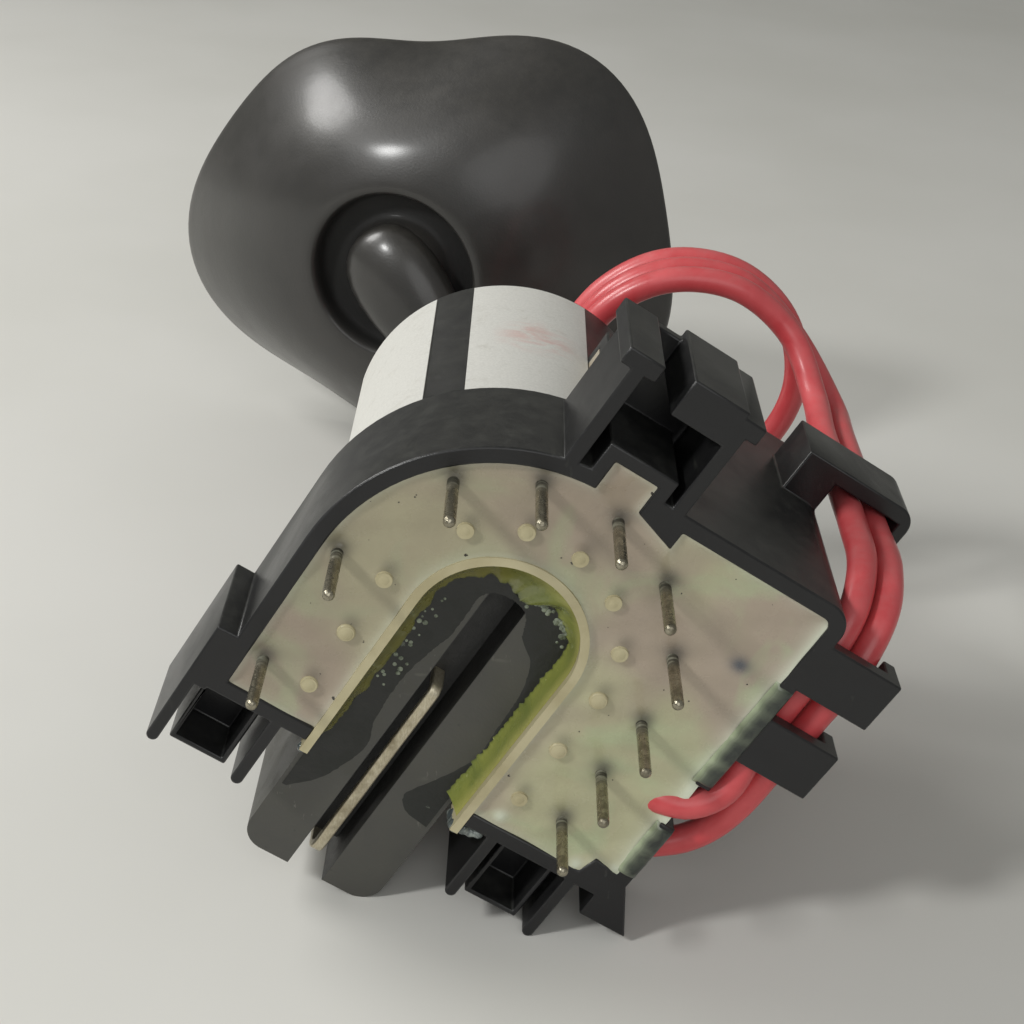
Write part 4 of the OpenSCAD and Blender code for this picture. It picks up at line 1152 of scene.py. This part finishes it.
def make_clip():
    """The sprung strip with rounded edges and bent corners, in place of the square one."""
    low, high, out, start = 6.5, 56.5, 39.1, 12.0
    bend, tip = 1.6, 3.6
    line = [(start, low + tip), (start, low + tip / 2), (start + 0.15, low + 0.5), (start + 0.6, low + 0.05),
            (start + 1.4, low), (start + 9, low), (out - bend, low)]
    corner = [radians(k) for k in range(9, 90, 9)]
    line += [(out - bend + bend * sin(t), low + bend - bend * cos(t)) for t in corner]
    line += [(out, low + bend), (out, 20), (out, 40), (out, high - bend)]
    line += [(out - bend + bend * cos(t), high - bend + bend * sin(t)) for t in corner]
    line += [(out - bend, high), (start + 9, high), (start + 1.4, high), (start + 0.6, high - 0.05),
             (start + 0.15, high - 0.5), (start, high - tip / 2), (start, high - tip)]
    path = [lay(a, 0, w) for a, w in line]
    side = (lay(0, 1, 0) - lay(0, 0, 0)).normalized()
    half_w, half_t, r = 0.7, 0.5, 0.22
    section = []
    for x, y, first in ((1, 1, 0), (-1, 1, 90), (-1, -1, 180), (1, -1, 270)):
        for t in (radians(first + k) for k in (0, 30, 60, 90)):
            section.append(((x * (half_w - r) + r * cos(t)) * MM, (y * (half_t - r) + r * sin(t)) * MM))
    rings = sweep_rings(path, lambda i: section, side)
    mesh = lofted("clip_strip", rings, caps=(True, True))
    mesh.set_sharp_from_angle(angle=radians(50))
    return piece("clip_strip", mesh, STRIP, "case", "spring_steel", "core_clip")


make_clip()


# ---- knob grips

def make_ribs_tree():
    """Bars that stand in a ring round a knob."""
    g = Growth("grip ribs", {"Ring": 5 * MM, "Rib": 0.4 * MM, "Height": 3 * MM}, {"Count": 24})
    ring = g.put("GeometryNodeMeshCircle", {"Vertices": g.given["Count"], "Radius": g.given["Ring"]})[0]
    bar = g.put("GeometryNodeMeshCylinder", {"Vertices": 8, "Radius": g.given["Rib"], "Depth": g.given["Height"]})
    return g.end(g.put("GeometryNodeInstanceOnPoints", {"Points": ring, "Instance": bar["Mesh"]})[0])


RIBS = make_ribs_tree()
# how far the middle of the knobs lies outside the wide wall and up from the seat
KNOB_OUT, KNOB_UP = 2.3, 24


def make_grip(knob, a):
    """Ribs round one knob, turned from the table's upright to the knob's own axis."""
    sizes = {"Ring": 4.85 * MM, "Rib": 0.4 * MM, "Height": 3.2 * MM, "Count": 26, "Finish": KNOB}
    mesh = grown(knob + "_grip", bpy.data.meshes.new(knob + "_ring"), RIBS, sizes)
    axis = (lay(0, -1, 0) - lay(0, 0, 0)).normalized()
    turn = axis.to_track_quat("Z", "Y").to_matrix().to_4x4()
    mesh.transform(Matrix.Translation(lay(a, -WIDE - KNOB_OUT, KNOB_UP)) @ turn)
    return piece(knob + "_grip", mesh, KNOB, knob, "knob")


make_grip("focus_knob", -11)
make_grip("screen_knob", 4)


# ---- floor and light

def make_stage():
    paper = cloudy("pale studio paper", (9.0, 4.0, 0.5), (0.3, 0.7), ("d6d5cf", "dcdbd6"), (0.7, 0.8))
    rings = []
    for y, z in [(-1.6, 0), (-0.4, 0), (0.9, 0)] + [(0.9 + 0.5 * sin(radians(k)), 0.5 - 0.5 * cos(radians(k)))
                                                     for k in range(10, 91, 10)] + [(1.4, 2.4)]:
        rings.append([Vector((x, y, z)) for x in (-2.4, -0.8, 0.8, 2.4)])
    mesh = lofted("studio_paper", rings, closed=False, outward=False)
    if mesh.polygons[0].normal.z < 0:
        mesh.flip_normals()
    mesh.materials.append(paper)
    floor = into_scene("studio_paper", mesh)


def make_light(name, at, aim, size, power, tint):
    lamp = bpy.data.lights.new(name, "AREA")
    lamp.shape = "ELLIPSE"
    lamp.size, lamp.size_y = size
    lamp.energy = power
    lamp.color = tint
    thing = into_scene(name, lamp)
    thing.location = at
    thing.rotation_euler = (Vector(aim) - Vector(at)).to_track_quat("-Z", "Y").to_euler()


make_stage()
make_light("window", (-0.565, -0.36, 0.58), (-0.01, 0.03, 0.04), (0.125, 0.125), 2.75, (1.0, 1.0, 0.985))
make_light("top_light", (-0.5, 0.16, 0.43), (0.0, 0.02, 0.03), (0.27, 0.27), 2.1, (1.0, 0.99, 0.965))
make_light("front_fill", (0.08, -0.62, 0.4), (0.0, 0.0, 0.04), (0.6, 0.5), 1.05, (1.0, 1.0, 0.99))
world = bpy.data.worlds.new("soft room")
world.use_nodes = True
world.node_tree.nodes["Background"].inputs["Color"].default_value = (0.78, 0.79, 0.77, 1)
world.node_tree.nodes["Background"].inputs["Strength"].default_value = 0.33
scene.world = world
